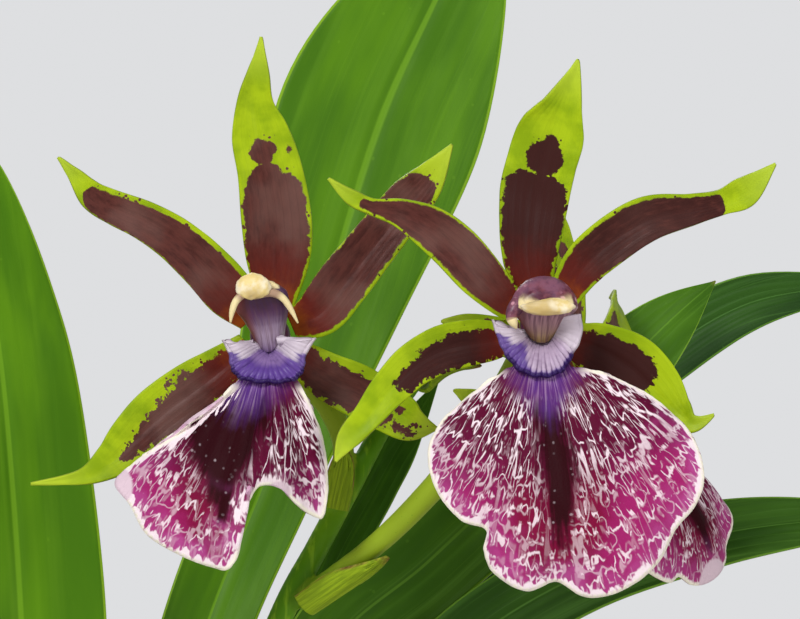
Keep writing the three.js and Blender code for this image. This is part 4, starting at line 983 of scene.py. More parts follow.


# Columns: a hood over a grooved belly, with a cream anther cap in front, a cream wing on the left of a
# nodding column and one on each side of an upright one. Each wing is a path in the bloom's frame with its
# half widths.
columnLook = {
    "rows": 60,
    "sides": 56,
    "tip": [(0.94, 0.25), (0.8, 0.5), (0.55, 0.68), (0.25, 0.76)],
    "wingRows": 16,
    "wingSides": 12,
    "wingShare": 0.9,
    "wingOver": 0.5,
    "capRows": 22,
    "capSides": 40,
    "capHole": 0.12,
    "hood": "#7d434e",
    "hoodDark": "#521f30",
    "hoodPaleMauve": "#84607c",
    "hoodSpot": "#d59aa8",
    "belly": "#a07a82",
    "bellyOlive": "#80683a",
    "bellyViolet": "#472649",
    "bellyPale": "#c9b4cc",
    "streak": "#4b2638",
    "rust": "#6b2f2a",
    "wingTan": "#a98a72",
    "cream": "#ecd9a4",
    "creamPale": "#f2e6cd",
    "cap": "#e6cd88",
    "capTan": "#c4a86a",
    "capPale": "#f3e6c6",
}
noddingColumn = {
    "path": [(0, -3.05, 0.1), (0, -3.9, 0.1), (0, -5.4, 1.1), (0.1, -7.4, 2.1), (0.2, -9.8, 2.7),
             (0.4, -11.8, 2.9), (0.5, -13.4, 2.9)],
    "half": [2.3, 2.5, 3, 3.9, 4.9, 5.3, 4.3],
    "back": [2.3, 2.5, 3.4, 4.4, 5, 4.8, 3.1],
    "belly": [2.3, 3.4, 4.6, 4.0, 2.7, 1.5, 0.8],
    "cap": (0.8, -14.9, 3),
    "capHalf": (4.2, 1.1, 1.4),
    "wings": [[(-3.6, -12.0, 3.4), (-4.5, -12.6, 2.4), (-4.9, -12.9, 1.3), (-4.6, -12.9, 0.4),
               (-4.1, -12.6, -0.5)]],
    "wingHalf": [1.5, 1.25, 0.95, 0.75, 0.15],
    "wingStart": 0.0,
    "creamFrom": (0.3, 0.75),
    "upright": 0.0,
}
uprightColumn = {
    "path": [(0, -3.15, 0.1), (0, -4.6, 0.3), (-0.2, -5.9, 1.5), (-0.5, -6.9, 3.1), (-0.9, -7.9, 4.7),
             (-1.4, -8.9, 6.2), (-1.8, -9.7, 7.6)],
    "half": [2.3, 2.5, 3, 3.7, 4.4, 4.4, 3.2],
    "back": [2.3, 2.3, 2.8, 3.3, 3.3, 2.9, 1.8],
    "belly": [2.3, 3.2, 3.4, 2.6, 2.0, 1.5, 0.9],
    "cap": (-2.4, -11.9, 7.9),
    "capHalf": (2.8, 1.2, 2.1),
    "wings": [
        [(-1.2, -11.2, 6.8), (-3.6, -11.3, 6.8), (-5.1, -11.4, 5.7), (-5.8, -11.3, 4.0),
         (-6.1, -11.0, 2.1)],
        [(-2.4, -11.2, 6.6), (0.2, -11.3, 7.0), (2.2, -11.2, 6.2), (3.5, -10.7, 4.5), (4.8, -10.2, 2.0)],
    ],
    "wingHalf": [0.85, 0.75, 0.6, 0.5, 0.15],
    "wingStart": 1.2,
    "creamFrom": (0.25, 0.8),
    "upright": 1.0,
}


def makeColumnFinish():
    look = columnLook
    finish, tree = newFinish("columnSatin", roughness=0.36, shine=0.28)
    at = field(tree, "columnAt", "Vector")
    share, over, sideways = field(tree, "share"), field(tree, "over"), field(tree, "sideways")
    upright, cream = field(tree, "upright"), field(tree, "cream")
    mottle = noise(tree, at, 0.55, 4.0, 0.6)
    hood = tint(tree, look["hoodDark"], look["hood"], mottle, 0.4, 0.62)
    # paler mauve-grey patches at random over the hood
    hood = tint(tree, hood, look["hoodPaleMauve"], noise(tree, at, 0.22, 3.0), 0.42, 0.62, 0.4)
    spot = ease(tree, cells(tree, at, 0.62), 0.30, 0.16)
    spot = times(tree, spot, times(tree, ease(tree, share, 0.72, 0.9), ease(tree, over, 0.9, 0.6)))
    hood = blend(tree, times(tree, spot, 0.8), hood, look["hoodSpot"])
    lines = noise(tree, addNode(tree, "CombineXYZ", {0: times(tree, sideways, 5.5), 1: share}).outputs[0],
                  1.6, 2.0)
    nodding = tint(tree, look["bellyOlive"], look["belly"], share, 0.36, 0.72)
    risen = tint(tree, look["bellyPale"], look["bellyViolet"], timesPlus(tree, lines, 0.6, share), 0.38,
                 1.0)
    belly = blend(tree, upright, nodding, risen)
    belly = tint(tree, belly, look["streak"], lines, 0.55, 0.42, 0.6)
    belly = tint(tree, belly, look["rust"], sideways, -0.3, -0.8, 0.85)
    skin = tint(tree, belly, hood, over, -0.12, 0.12)
    brim = times(tree, ease(tree, timesPlus(tree, mottle, 0.2, share), 1.02, 1.09),
                 ease(tree, over, 0.75, 0.25))
    skin = blend(tree, brim, skin, look["cream"])
    wing = tint(tree, look["wingTan"], look["cream"], cream, 1.3, 1.6)
    skin = tint(tree, skin, wing, cream, 0.9, 1.2)
    return cover(finish, skin, timesPlus(tree, lines, 0.6, mottle), 0.10, 0.6)


def makeCapFinish():
    look = columnLook
    finish, tree = newFinish("antherWax", roughness=0.45, shine=0.25)
    at = field(tree, "columnAt", "Vector")
    over, sideways = field(tree, "over"), field(tree, "sideways")
    drift = noise(tree, at, 0.5, 3.0)
    skin = tint(tree, look["cap"], look["capPale"], drift, 0.4, 0.65)
    tan = times(tree, ease(tree, over, 0.2, -0.7), ease(tree, absolute(tree, sideways), 0.6, 0.2))
    skin = blend(tree, times(tree, tan, 0.8), skin, look["capTan"])
    aged = times(tree, field(tree, "aged"), ease(tree, timesPlus(tree, drift, 0.8, sideways), 0.95, 0.35))
    skin = blend(tree, times(tree, aged, 0.75), skin, look["capTan"])
    skin = tint(tree, skin, look["creamPale"], absolute(tree, sideways), 0.7, 1.0, 0.7)
    return cover(finish, skin, noise(tree, at, 1.6, 3.0), 0.12, 0.5)


def columnRings(column):
    look = columnLook
    t = np.linspace(0, 1, look["rows"])
    angle = turns(look["sides"])
    forward = directionAlong(column["path"], t)
    side = squareTo(np.array([[1.0, 0, 0]]) * np.ones((len(t), 1)), forward)
    up = np.cross(forward, side)
    half, back, belly = (along(column[key], t)[:, None] for key in ("half", "back", "belly"))
    height = np.where(np.sin(angle) > 0, back, belly)
    # the belly is grooved along its middle near the tip
    groove = smoothStep(0.45, 0.8, t)[:, None] * np.exp(-(np.cos(angle) / 0.3) ** 2)
    groove = 1 - 0.3 * groove * (np.sin(angle) < 0)
    rings = along(column["path"], t)[:, None] + side[:, None] * (half * np.cos(angle))[..., None]
    return rings + up[:, None] * (height * groove * np.sin(angle))[..., None], t, angle


def makeColumn(bloom, column, finish, seed):
    look = columnLook
    rings, t, angle = columnRings(column)
    # the tip rounds off in a few closing rings
    last, centre = rings[-1], rings[-1].mean(0)
    forward = directionAlong(column["path"], np.array([1.0]))[0]
    closing = [centre + (last - centre) * size + forward * push for size, push in look["tip"]]
    rings = np.concatenate([rings, np.array(closing)])
    rows, sides = rings.shape[:2]
    share = np.concatenate([t, np.ones(len(closing))])[:, None] * np.ones(sides)
    over = np.sin(angle)[None] * np.ones((rows, 1))
    sideways = np.cos(angle)[None] * np.ones((rows, 1))
    centreLine = rings.mean(1, keepdims=True)
    rough = 0.10 * softNoise(seed, rings[..., 0] * 1.1, rings[..., 1] * 0.9, rings[..., 2] * 1.3)
    rings = rings + unit(rings - centreLine + 1e-6) * (rough * smoothStep(0.2, 0.5, share))[..., None]
    points, faces = [], []
    addLoft(points, faces, rings)
    marks = [np.stack([share, over, sideways, 0 * share], -1).reshape(-1, 4)]
    for wing in column["wings"]:
        wingRings, t, angle = tubeRings(wing, column["wingHalf"], look["wingRows"], look["wingSides"])
        addLoft(points, faces, wingRings)
        cream = column["wingStart"] + (2 - column["wingStart"]) * smoothStep(*column["creamFrom"], t)
        cream = np.repeat(cream, len(angle))
        share, over = np.full_like(cream, look["wingShare"]), np.full_like(cream, look["wingOver"])
        marks.append(np.column_stack([share, over, 0 * cream, cream]))
    points = np.concatenate(points)
    share, over, sideways, cream = np.concatenate(marks).T
    fields = {
        "columnAt": points + np.array([17.0 * seed, 0, 0]),
        "share": share,
        "over": over,
        "sideways": sideways,
        "cream": cream,
        "upright": column["upright"],
    }
    piece = addMesh(bloom + "BloomColumn", placed(points, bloom), faces, fields)
    dress(piece, finish, "column", bloom + "_bloom_column")


def makeCap(bloom, column, finish, seed):
    # lumpy, and lower on one side
    look = columnLook
    theta = np.linspace(look["capHole"], math.pi - look["capHole"], look["capRows"])[:, None]
    phi = turns(look["capSides"])[None]
    ball = [np.sin(theta) * np.cos(phi), np.sin(theta) * np.sin(phi), np.cos(theta) * np.ones_like(phi)]
    ball = np.stack(ball, -1)
    lumps = 1 + 0.13 * softNoise(seed + 3, ball[..., 0] * 3, ball[..., 1] * 3, ball[..., 2] * 3)
    # a nodding column's cap stands higher on its right
    lower = (1 - column["upright"]) * 0.45 * smoothStep(0.3, -0.7, ball[..., 0]) * (ball[..., 2] > 0)
    ball[..., 2] *= 1 - lower
    points = ball * lumps[..., None] * np.array(column["capHalf"]) + np.array(column["cap"])
    fields = {
        "columnAt": points.reshape(-1, 3) + np.array([17.0 * seed, 0, 0]),
        "over": ball[..., 2].ravel(),
        "sideways": ball[..., 0].ravel(),
        "aged": 1.0 - column["upright"],
    }
    faces = [face[::-1] for face in loftFaces(look["capRows"], look["capSides"])]
    cap = addMesh(bloom + "BloomAntherCap", placed(points, bloom).reshape(-1, 3), faces, fields)
    dress(cap, finish, "anther_cap", bloom + "_bloom_anther_cap")


columnFinish, capFinish = makeColumnFinish(), makeCapFinish()
columns = {"right": noddingColumn, "left": uprightColumn, "back": noddingColumn}
for number, (bloom, column) in enumerate(columns.items()):
    makeColumn(bloom, column, columnFinish, seed=2 + number)
    makeCap(bloom, column, capFinish, seed=2 + number)
print("columns and caps made")


# Leaves stand as channels on their bulbs and open into straps. Tone 0 is the bright green of young leaves
# and tone 1 a dark green, partly that of old leaves and partly painted shade for a leaf in shadow behind
# others.
bulbs = {
    "FrontLeft": {"x": -10, "y": -16, "sheathAzimuth": 250},
    "Right": {"x": 22, "y": -8, "sheathAzimuth": 330},
    "BackRight": {"x": 14, "y": 26, "sheathAzimuth": 40},
    "BackLeft": {"x": -20, "y": 18, "sheathAzimuth": 160},
}
leafLook = {
    "rows": 120,
    "columns": 32,
    "thickness": 0.9,
    "footRises": (0, 6, 15),
    "footLean": 0.6,
    "footSpread": 1.25,
    "footRing": 5,
    "footArc": 46,
    "bulbTop": 178,
    "clearance": 0.3,
    "pleats": 7,
    "pleatDepth": (0.04, 0.2),
    "grooveDepth": 0.30,
    "swell": 0.45,
    "marginSwell": 0.35,
    "young": "#568608",
    "youngLight": "#74a41e",
    "youngDeep": "#437204",
    "youngRim": "#93bd28",
    "old": "#2f5518",
    "oldAndShadedLight": "#4a7630",
    "oldAndShadedDeep": "#1c3c0e",
    "oldAndShadedRim": "#62902a",
    "back": "#6f9440",
    "tipBrown": "#8d7a3c",
}
leaves = {
    "LeftTall": {
        "bulb": "FrontLeft", "azimuth": 140, "tone": 0.0,
        "path": [(-15, -19, 215), (-16, -27, 248), (-16.5, -30, 277), (-19, -30, 312), (-21.5, -30, 332),
                 (-24.5, -31, 351), (-28, -32, 365)],
        "half": [9, 13, 14.5, 13, 10.5, 6, 0.14],
        "curl": [30, 16, 10, 8, 8, 10, 12],
        "face": (0.15, -1, 0),
    },
    "CentreTall": {
        "bulb": "FrontLeft", "azimuth": 10, "tone": 0.1,
        "path": [(4, -10, 208), (8, -10, 235), (12.5, -8, 269), (24.7, 0, 301.7), (34.5, 8, 331.7),
                 (44.6, 14, 364), (56, 18, 389.3), (64.2, 20, 410.2)],
        "half": [8, 9, 8, 9.5, 14, 18.6, 12, 0.14],
        "curl": [35, 30, 26, 14, 8, 6, 6, 10],
        "face": (0, -1, 0.1),
    },
    "FrontLow": {
        "bulb": "FrontLeft", "azimuth": 248, "tone": 0.35,
        "path": [(-24, -44, 205), (-36, -62, 220), (-52, -78, 226), (-68, -92, 218), (-82, -104, 198),
                 (-90, -110, 176)],
        "half": [8, 10.5, 12, 11, 7.5, 0.14],
        "curl": [24, 16, 12, 12, 14, 12],
        "face": (0.2, -0.1, 1),
    },
    "BehindStem": {
        "bulb": "Right", "azimuth": 100, "tone": 0.6,
        "path": [(24, 16, 215), (28, 24, 250), (34.3, 30, 278.8), (43.4, 30, 297), (48, 30, 305.3),
                 (55, 30, 317)],
        "half": [7, 6, 4.4, 4, 3.4, 0.14],
        "curl": [34, 28, 24, 20, 16, 10],
        "face": (0, -1, 0.1),
    },
    "RightLong": {
        "bulb": "Right", "azimuth": 220, "tone": 0.5,
        "path": [(22, -15, 214), (28, -16, 246), (35.9, -15, 271), (53.2, -12, 286.4), (74.2, -8, 306.3),
                 (92.8, -4, 325.5), (103.6, 0, 335)],
        "half": [6.5, 7.5, 8.2, 9, 9.6, 6, 0.14],
        "curl": [34, 26, 20, 16, 14, 14, 10],
        "face": (0, -1, 0.15),
    },
    "RightLow": {
        "bulb": "Right", "azimuth": 340, "tone": 0.8,
        "path": [(36, -16, 214), (45, -19, 247), (56, -20, 268.7), (77.3, -20, 283.4), (101.4, -20, 291),
                 (122, -20, 293.7), (134, -20, 292.8)],
        "half": [7, 7.2, 7, 7, 6, 3.5, 0.14],
        "curl": [34, 26, 20, 18, 18, 18, 10],
        "face": (0, -1, 0.3),
    },
    # its dark tone 1.0 is partly painted shade: it lies in shadow behind the leaves in front of it
    "RightBack": {
        "bulb": "BackRight", "azimuth": 345, "tone": 1.0,
        "path": [(32, 27, 215), (44, 25, 252), (58, 22, 284), (76.9, 20, 308), (93, 20, 320.5),
                 (112, 20, 331.5), (138, 20, 335)],
        "half": [6.5, 7.5, 7.4, 6.8, 6.4, 5, 0.14],
        "curl": [34, 26, 20, 18, 18, 18, 10],
        "face": (0, -1, 0.2),
    },
    "BackRight": {
        "bulb": "BackRight", "azimuth": 95, "tone": 0.5,
        "path": [(22, 50, 216), (36, 70, 244), (54, 92, 258), (70, 110, 256), (82, 124, 240),
                 (88, 130, 222)],
        "half": [8, 10, 11.5, 10.5, 7, 0.14],
        "curl": [24, 16, 12, 12, 14, 12],
        "face": (-0.3, -0.2, 1),
    },
    "LeftUpright": {
        "bulb": "BackLeft", "azimuth": 162, "tone": 0.3,
        "path": [(-42, 22, 212), (-52, 24, 248), (-60, 26, 288), (-66, 27, 324), (-74, 28, 352),
                 (-82, 29, 370)],
        "half": [8, 11, 12.5, 11.5, 7.5, 0.14],
        "curl": [30, 20, 14, 12, 12, 12],
        "face": (0.6, -1, 0.2),
    },
    "LeftArching": {
        "bulb": "BackLeft", "azimuth": 262, "tone": 0.45,
        "path": [(-46, -2, 208), (-68, -12, 236), (-94, -20, 254), (-118, -26, 250), (-136, -30, 232),
                 (-144, -31, 212)],
        "half": [8, 10.5, 12, 11, 7, 0.14],
        "curl": [24, 16, 12, 12, 14, 12],
        "face": (0.3, -0.2, 1),
    },
    "BackLeft": {
        "bulb": "BackLeft", "azimuth": 60, "tone": 0.4,
        "path": [(-30, 46, 212), (-46, 66, 244), (-64, 86, 268), (-82, 104, 276), (-98, 120, 266),
                 (-106, 128, 250)],
        "half": [8, 10.5, 12, 11, 7, 0.14],
        "curl": [24, 16, 12, 12, 14, 12],
        "face": (0.3, -0.3, 1),
    },
}


def leafBlade(leaf):
    # the foot is an arc on the bulb's flat top that turns towards the leaf's own face as it rises
    look, bulb = leafLook, bulbs[leaf["bulb"]]
    azimuth = math.radians(leaf["azimuth"])
    outX, outY = math.cos(azimuth), math.sin(azimuth)
    foot = []
    for i, rise in enumerate(look["footRises"]):
        reach = look["footRing"] + look["footLean"] * i * i
        foot.append((bulb["x"] + outX * reach, bulb["y"] + outY * reach,
                     look["bulbTop"] + look["clearance"] + rise))
    half, arc = look["footRing"] * math.radians(look["footArc"]), look["footArc"]
    inward, face = np.array([-outX, -outY, 0]), np.array(leaf["face"])
    between = inward + (face - inward) * 0.4
    return {
        "path": foot + leaf["path"],
        "half": [half, half, half * look["footSpread"]] + leaf["half"],
        "curl": [arc, arc, arc] + leaf["curl"],
        "face": [inward, inward, between, between, face, face, face, face, face],
    }


def makeLeafFinish():
    look = leafLook
    finish, tree = newFinish("leafGloss", roughness=0.45, shine=0.12)
    at = field(tree, "bladeAt", "Vector")
    tone, share, across = field(tree, "tone"), field(tree, "share"), field(tree, "across")
    front = ease(tree, field(tree, "front"), 0.4, 0.6)
    drift = streaks(tree, at, (0.12, 0.03, 1), 3.0)
    lines = streaks(tree, at, (1.6, 0.012, 1), 3.0, 0.6)
    wide = streaks(tree, at, (0.35, 0.006, 1), 2.0)
    young = tint(tree, look["young"], look["youngDeep"], drift, 0.35, 0.65)
    young = tint(tree, young, look["youngLight"], wide, 0.5, 0.72, 0.15)
    # the dark green, partly old leaf colour and partly painted shade
    old = tint(tree, look["old"], look["oldAndShadedDeep"], drift, 0.35, 0.65)
    old = tint(tree, old, look["oldAndShadedLight"], wide, 0.5, 0.72, 0.5)
    light = blend(tree, tone, look["youngLight"], look["oldAndShadedLight"])
    deep = blend(tree, tone, look["youngDeep"], look["oldAndShadedDeep"])
    skin = blend(tree, tone, young, old)
    strong = timesPlus(tree, tone, 0.28, 0.05)
    skin = blend(tree, times(tree, ease(tree, lines, 0.56, 0.66), strong), skin, light)
    skin = blend(tree, times(tree, ease(tree, lines, 0.42, 0.34), strong), skin, deep)
    # painted shade: one half of each leaf's channel is darkened low down, where the fold lies in shadow
    low = times(tree, ease(tree, share, 0.62, 0.40), ease(tree, across, 0.25, -0.25, 0.0, 0.55))
    skin = blend(tree, low, skin, look["oldAndShadedDeep"])
    # pleat lines and a pale keel line
    pleat = absolute(tree, calc(tree, "SINE", times(tree, across, math.pi * look["pleats"] / 2)))
    skin = blend(tree, times(tree, ease(tree, pleat, 0.12, 0.0), strong), skin, deep)
    middle = absolute(tree, across)
    skin = tint(tree, skin, light, middle, 0.05, 0.02, 0.6)
    # a thin pale edge, old tips and a few dull flecks
    edge = blend(tree, tone, look["youngRim"], look["oldAndShadedRim"])
    skin = tint(tree, skin, edge, middle, 0.965, 0.985, 0.8)
    flecks = ease(tree, cells(tree, at, 0.28), 0.10, 0.05, 0.0, 0.22)
    skin = blend(tree, flecks, skin, light)
    skin = tint(tree, skin, look["tipBrown"], timesPlus(tree, drift, 0.03, share), 1.0, 1.025, 0.9)
    pale = blend(tree, ease(tree, lines, 0.3, 0.7, 0.3, 0.7), look["back"], skin)
    skin = blend(tree, timesPlus(tree, front, -0.45, 0.45), skin, pale)
    connect(tree, ease(tree, drift, 0.3, 0.7, 0.40, 0.55), "Roughness")
    height = timesPlus(tree, lines, 1.0, times(tree, noise(tree, at, 1.4, 2.0), 0.12))
    return cover(finish, skin, height, 0.05, 0.5)


def makeLeaf(name, leaf, finish, seed):
    look = leafLook
    blade = leafBlade(leaf)
    middle, t, u, half, down = bladeGrid(blade, look)
    across = u * half
    opened = smoothStep(0.12, 0.45, t) * smoothStep(1.0, 0.86, t)
    pleatDepth = along(look["pleatDepth"], leaf["tone"])
    relief = pleatDepth * (1 - np.abs(np.sin(math.pi * look["pleats"] * u / 2))) * -opened
    relief += 0.25 * pleatDepth * np.cos(2 * math.pi * u * 14) * opened
    relief -= look["grooveDepth"] * np.exp(-(across / 0.8) ** 2) * opened
    relief += look["swell"] * softNoise(seed, across * 0.08, down * 0.035) * opened
    relief += look["marginSwell"] * np.abs(u) ** 3 * softNoise(seed + 1, down * 0.09, u) * opened
    middle = middle + gridNormals(middle) * relief[..., None]
    thickness = thinned(look["thickness"], u, t, 0.45)
    fields = {
        "bladeAt": flatAt(across + 61.0 * seed, down),
        "share": t,
        "across": u,
        "tone": leaf["tone"],
    }
    piece = sheetPiece("leaf" + name, middle, thickness, fields)
    dress(piece, finish, "leaf", nodeName(piece.name))


leafFinish = makeLeafFinish()
for number, (name, leaf) in enumerate(leaves.items()):
    makeLeaf(name, leaf, leafFinish, seed=4 + 3 * number)
print("leaves made")


# The flower stem: scape and rachis, and a pedicel with its ovary up to the seat of each bloom
stemLook = {
    "rachis": [(8, -38, 104), (6.5, -40, 130), (6, -42, 165), (10, -47, 215), (19, -51, 254),
               (28.1, -52, 278.6), (34, -51, 290), (39.7, -49, 300.5), (45.5, -46, 311),
               (52.2, -40, 319.8), (59, -34, 323.5), (66.8, -28, 323.9)],
    "rachisRadii": [3, 2.9, 2.7, 2.5, 2.3, 2.1, 2, 1.9, 1.7, 1.6, 1.6, 1.7],
    "pedicels": {
        "right": [(31, -52.5, 281.5), (37.3, -55, 286.1), (42.6, -58, 290.1), (48.3, -61, 295.3),
                  (54.7, -64, 302.3), (60.7, -66, 310.3), (66.2, -67.4, 319)],
        "left": [(37, -50.5, 297), (38.6, -50.5, 306.7), (36.4, -50.5, 313.4), (32, -50, 319)],
        "back": [(59, -34, 323.5), (66.8, -28, 323.9), (71, -29.5, 319.6)],
    },
    "pedicelRadii": (1.6, 2.5),
    "ovaryRadii": [2.6, 3, 3.4, 3],
    "seatStations": (8, 4, 1, -2.6),
    "rachisRows": 220,
    "pedicelRows": 120,
    "sides": 20,
    "voxel": 0.5,
    "relax": (0.5, 6),
    "scrap": 100,
    "green": "#70a412",
    "light": "#95bd26",
    "deep": "#4f820a",
    "ovary": "#93ab26",
    "foot": "#6c6a35",
    "seat": "#4f2440",
}


def pedicelStem(bloom):
    path = stemLook["pedicels"][bloom]
    first, last = stemLook["pedicelRadii"]
    radii = [first + (last - first) * i / len(path) for i in range(len(path))]
    stations = np.array([(0, y, 0) for y in stemLook["seatStations"]], float)
    return path + [tuple(p) for p in placed(stations, bloom)], radii + stemLook["ovaryRadii"]


def makeStemFinish():
    look = stemLook
    finish, tree = newFinish("stemGreen", roughness=0.45, shine=0.14)
    at = addNode(tree, "TexCoord").outputs["Object"]
    share = field(tree, "share")
    drift = noise(tree, at, 60.0, 3.0)
    lines = streaks(tree, at, (900, 900, 60), 3.0)
    skin = tint(tree, look["green"], look["deep"], drift, 0.35, 0.65)
    skin = tint(tree, skin, look["light"], lines, 0.5, 0.68, 0.5)
    skin = blend(tree, field(tree, "ovary"), skin, look["ovary"])
    skin = blend(tree, field(tree, "seat"), skin, look["seat"])
    skin = tint(tree, skin, look["foot"], share, 0.12, 0.03, 0.8)
    specks = ease(tree, cells(tree, at, 900.0), 0.14, 0.08, 0.0, 0.35)
    skin = blend(tree, specks, skin, look["deep"])
    return cover(finish, skin, calc(tree, "ADD", lines, drift), 0.12, 0.6)


def dropScraps(mesh, fewest):
    # a remesh can leave a tiny closed scrap where two tubes meet
    shape = bmesh.new()
    shape.from_mesh(mesh)
    seen, scraps = set(), []
    for start in shape.verts:
        if start in seen:
            continue
        island, waiting = [], [start]
        seen.add(start)
        while waiting:
            vert = waiting.pop()
            island.append(vert)
            for edge in vert.link_edges:
                other = edge.other_vert(vert)
                if other not in seen:
                    seen.add(other)
                    waiting.append(other)
        if len(island) < fewest:
            scraps += island
    bmesh.ops.delete(shape, geom=scraps, context="VERTS")
    shape.to_mesh(mesh)
    shape.free()


def makeStem(finish):
    look = stemLook
    bones = [(look["rachis"], look["rachisRadii"], look["rachisRows"])]
    bones += [(*pedicelStem(bloom), look["pedicelRows"]) for bloom in look["pedicels"]]
    points, faces = [], []
    for path, radii, rows in bones:
        rings, t, angle = tubeRings(path, radii, rows, look["sides"])
        addLoft(points, faces, rings)
    piece = addMesh("flowerStem", np.concatenate(points), faces, {})
    remesh = piece.modifiers.new("oneSkin", "REMESH")
    remesh.mode, remesh.voxel_size, remesh.use_smooth_shade = "VOXEL", look["voxel"] * toMetres, True
    relax = piece.modifiers.new("relax", "SMOOTH")
    relax.factor, relax.iterations = look["relax"]
    solid = settle(piece)
    dropScraps(solid, look["scrap"])
    count = len(solid.vertices)
    at = np.empty(count * 3)
    solid.vertices.foreach_get("co", at)
    at = at.reshape(-1, 3) / toMetres
    share, ovary, nearest = np.zeros(count), np.zeros(count), np.full(count, 1e9)
    seat = np.zeros(count)
    for bloom in seats:
        last = placed(np.array([0, look["seatStations"][-1], 0.0]), bloom)
        seat = np.maximum(seat, smoothStep(4.6, 3.9, np.linalg.norm(at - last, axis=1)))
    for number, (path, radii, rows) in enumerate(bones):
        t = np.linspace(0, 1, rows)
        line = along(path, t)
        for i in range(rows):
            gone = ((at - line[i]) ** 2).sum(1)
            closer = gone < nearest
            nearest[closer] = gone[closer]
            share[closer] = t[i] if number == 0 else 1.0
            ovary[closer] = 0.0 if number == 0 else smoothStep(-0.05, 0.2, t[i])
    for name, values in (("share", share), ("ovary", ovary), ("seat", seat)):
        layer = solid.attributes.new(name, "FLOAT", "POINT")
        layer.data.foreach_set("value", values.astype(np.float32))
    dress(piece, finish, "stem", "flower_stem")


stemFinish = makeStemFinish()
makeStem(stemFinish)
print("flower stem made")


# Bracts at the nodes and sheaths lower on the scape clasp the stem from one side, each from one share of
# its stem's length to another
bractLook = {
    "rows": 60,
    "columns": 26,
    "thickness": 0.8,
    "taper": [1, 1, 0.7, 0.1],
    "clearance": 0.3,
    "ribHeight": 0.07,
    "marginSwell": 0.12,
    "green": "#9db823",
    "greenDeep": "#7d981d",
    "dry": "#a9854a",
    "dryDark": "#6b4a24",
}
bracts = {
    "bractRightBloom": {"stem": "right", "from": 0.02, "to": 0.24,
                        "out": (0.3, -0.6, -0.75), "arc": 75, "room": 0.6, "flare": 0.4, "dryness": 0.12},
    "bractLeftBloom": {"stem": "left", "from": 0, "to": 0.16,
                       "out": (0, -1, 0), "arc": 55, "room": 0.6, "flare": 0.8, "dryness": 0.2},
    "bractBackBloom": {"stem": "rachis", "from": 0.8, "to": 0.93,
                       "out": (0, -0.3, -1), "arc": 70, "room": 0.4, "flare": 0.8, "dryness": 0.3},
    "scapeSheathLower": {"stem": "rachis", "from": 0.18, "to": 0.27,
                         "out": (1, -0.3, 0), "arc": 80, "room": 0.2, "flare": 1.6, "dryness": 1.0,
                         "slot": "dry_sheath"},
    "scapeSheathUpper": {"stem": "rachis", "from": 0.3, "to": 0.38,
                         "out": (-0.6, -0.8, 0), "arc": 80, "room": 0.2, "flare": 1.6, "dryness": 0.8,
                         "slot": "dry_sheath"},
}


def bractBlade(bract):
    look = bractLook
    if bract["stem"] == "rachis":
        path, radii = stemLook["rachis"], stemLook["rachisRadii"]
    else:
        path, radii = pedicelStem(bract["stem"])
    blade = {"path": [], "half": [], "curl": [], "face": []}
    last = len(look["taper"]) - 1
    for i, taper in enumerate(look["taper"]):
        share = i / last
        t = np.array([bract["from"] + (bract["to"] - bract["from"]) * share])
        out = squareTo(np.array([bract["out"]], float), directionAlong(path, t))[0]
        radius = along(radii, t)[0] + look["thickness"] / 2 + look["clearance"] + bract["room"]
        blade["path"].append(along(path, t)[0] + out * (radius + bract["flare"] * share * share))
        blade["half"].append(radius * math.radians(bract["arc"]) * taper)
        blade["curl"].append(bract["arc"] * taper)
        blade["face"].append(-out)
    return blade


def makeBractFinish():
    look = bractLook
    finish, tree = newFinish("bractPaper", roughness=0.6, shine=0.1)
    at = field(tree, "bladeAt", "Vector")
    share, across, dryness = field(tree, "share"), field(tree, "across"), field(tree, "dryness")
    fibre = streaks(tree, at, (2.6, 0.10, 1), 4.0, 0.65)
    drift = noise(tree, at, 0.22, 3.0)
    green = tint(tree, look["greenDeep"], look["green"], fibre, 0.4, 0.62)
    dry = tint(tree, look["dryDark"], look["dry"], fibre, 0.38, 0.62)
    rim = calc(tree, "MAXIMUM", ease(tree, absolute(tree, across), 0.6, 1.0), ease(tree, share, 0.6, 1.0))
    worn = timesPlus(tree, drift, 0.9, timesPlus(tree, rim, 0.5, dryness))
    skin = tint(tree, green, dry, worn, 0.95, 1.25)
    return cover(finish, skin, timesPlus(tree, drift, 0.4, fibre), 0.16, 0.8)


def makeBract(name, bract, finish, seed):
    look = bractLook
    blade = bractBlade(bract)
    middle, t, u, half, down = bladeGrid(blade, look)
    relief = look["ribHeight"] * np.cos(2 * math.pi * u * 5) * smoothStep(0, 0.2, t)
    relief += look["marginSwell"] * np.abs(u) ** 2 * softNoise(seed, down * 0.8, u * 2)
    middle = middle - gridNormals(middle) * np.maximum(relief, -0.1)[..., None]
    thickness = thinned(look["thickness"], u, t, 0.4, 0.5)
    fields = {
        "bladeAt": flatAt(u * half + 29.0 * seed, down),
        "share": t,
        "across": u,
        "dryness": bract["dryness"],
    }
    piece = sheetPiece(name, middle, thickness, fields)
    dress(piece, finish, bract.get("slot", "bract"), nodeName(name))


bractFinish = makeBractFinish()
for number, (name, bract) in enumerate(bracts.items()):
    makeBract(name, bract, bractFinish, seed=6 + number)
print("bracts made")


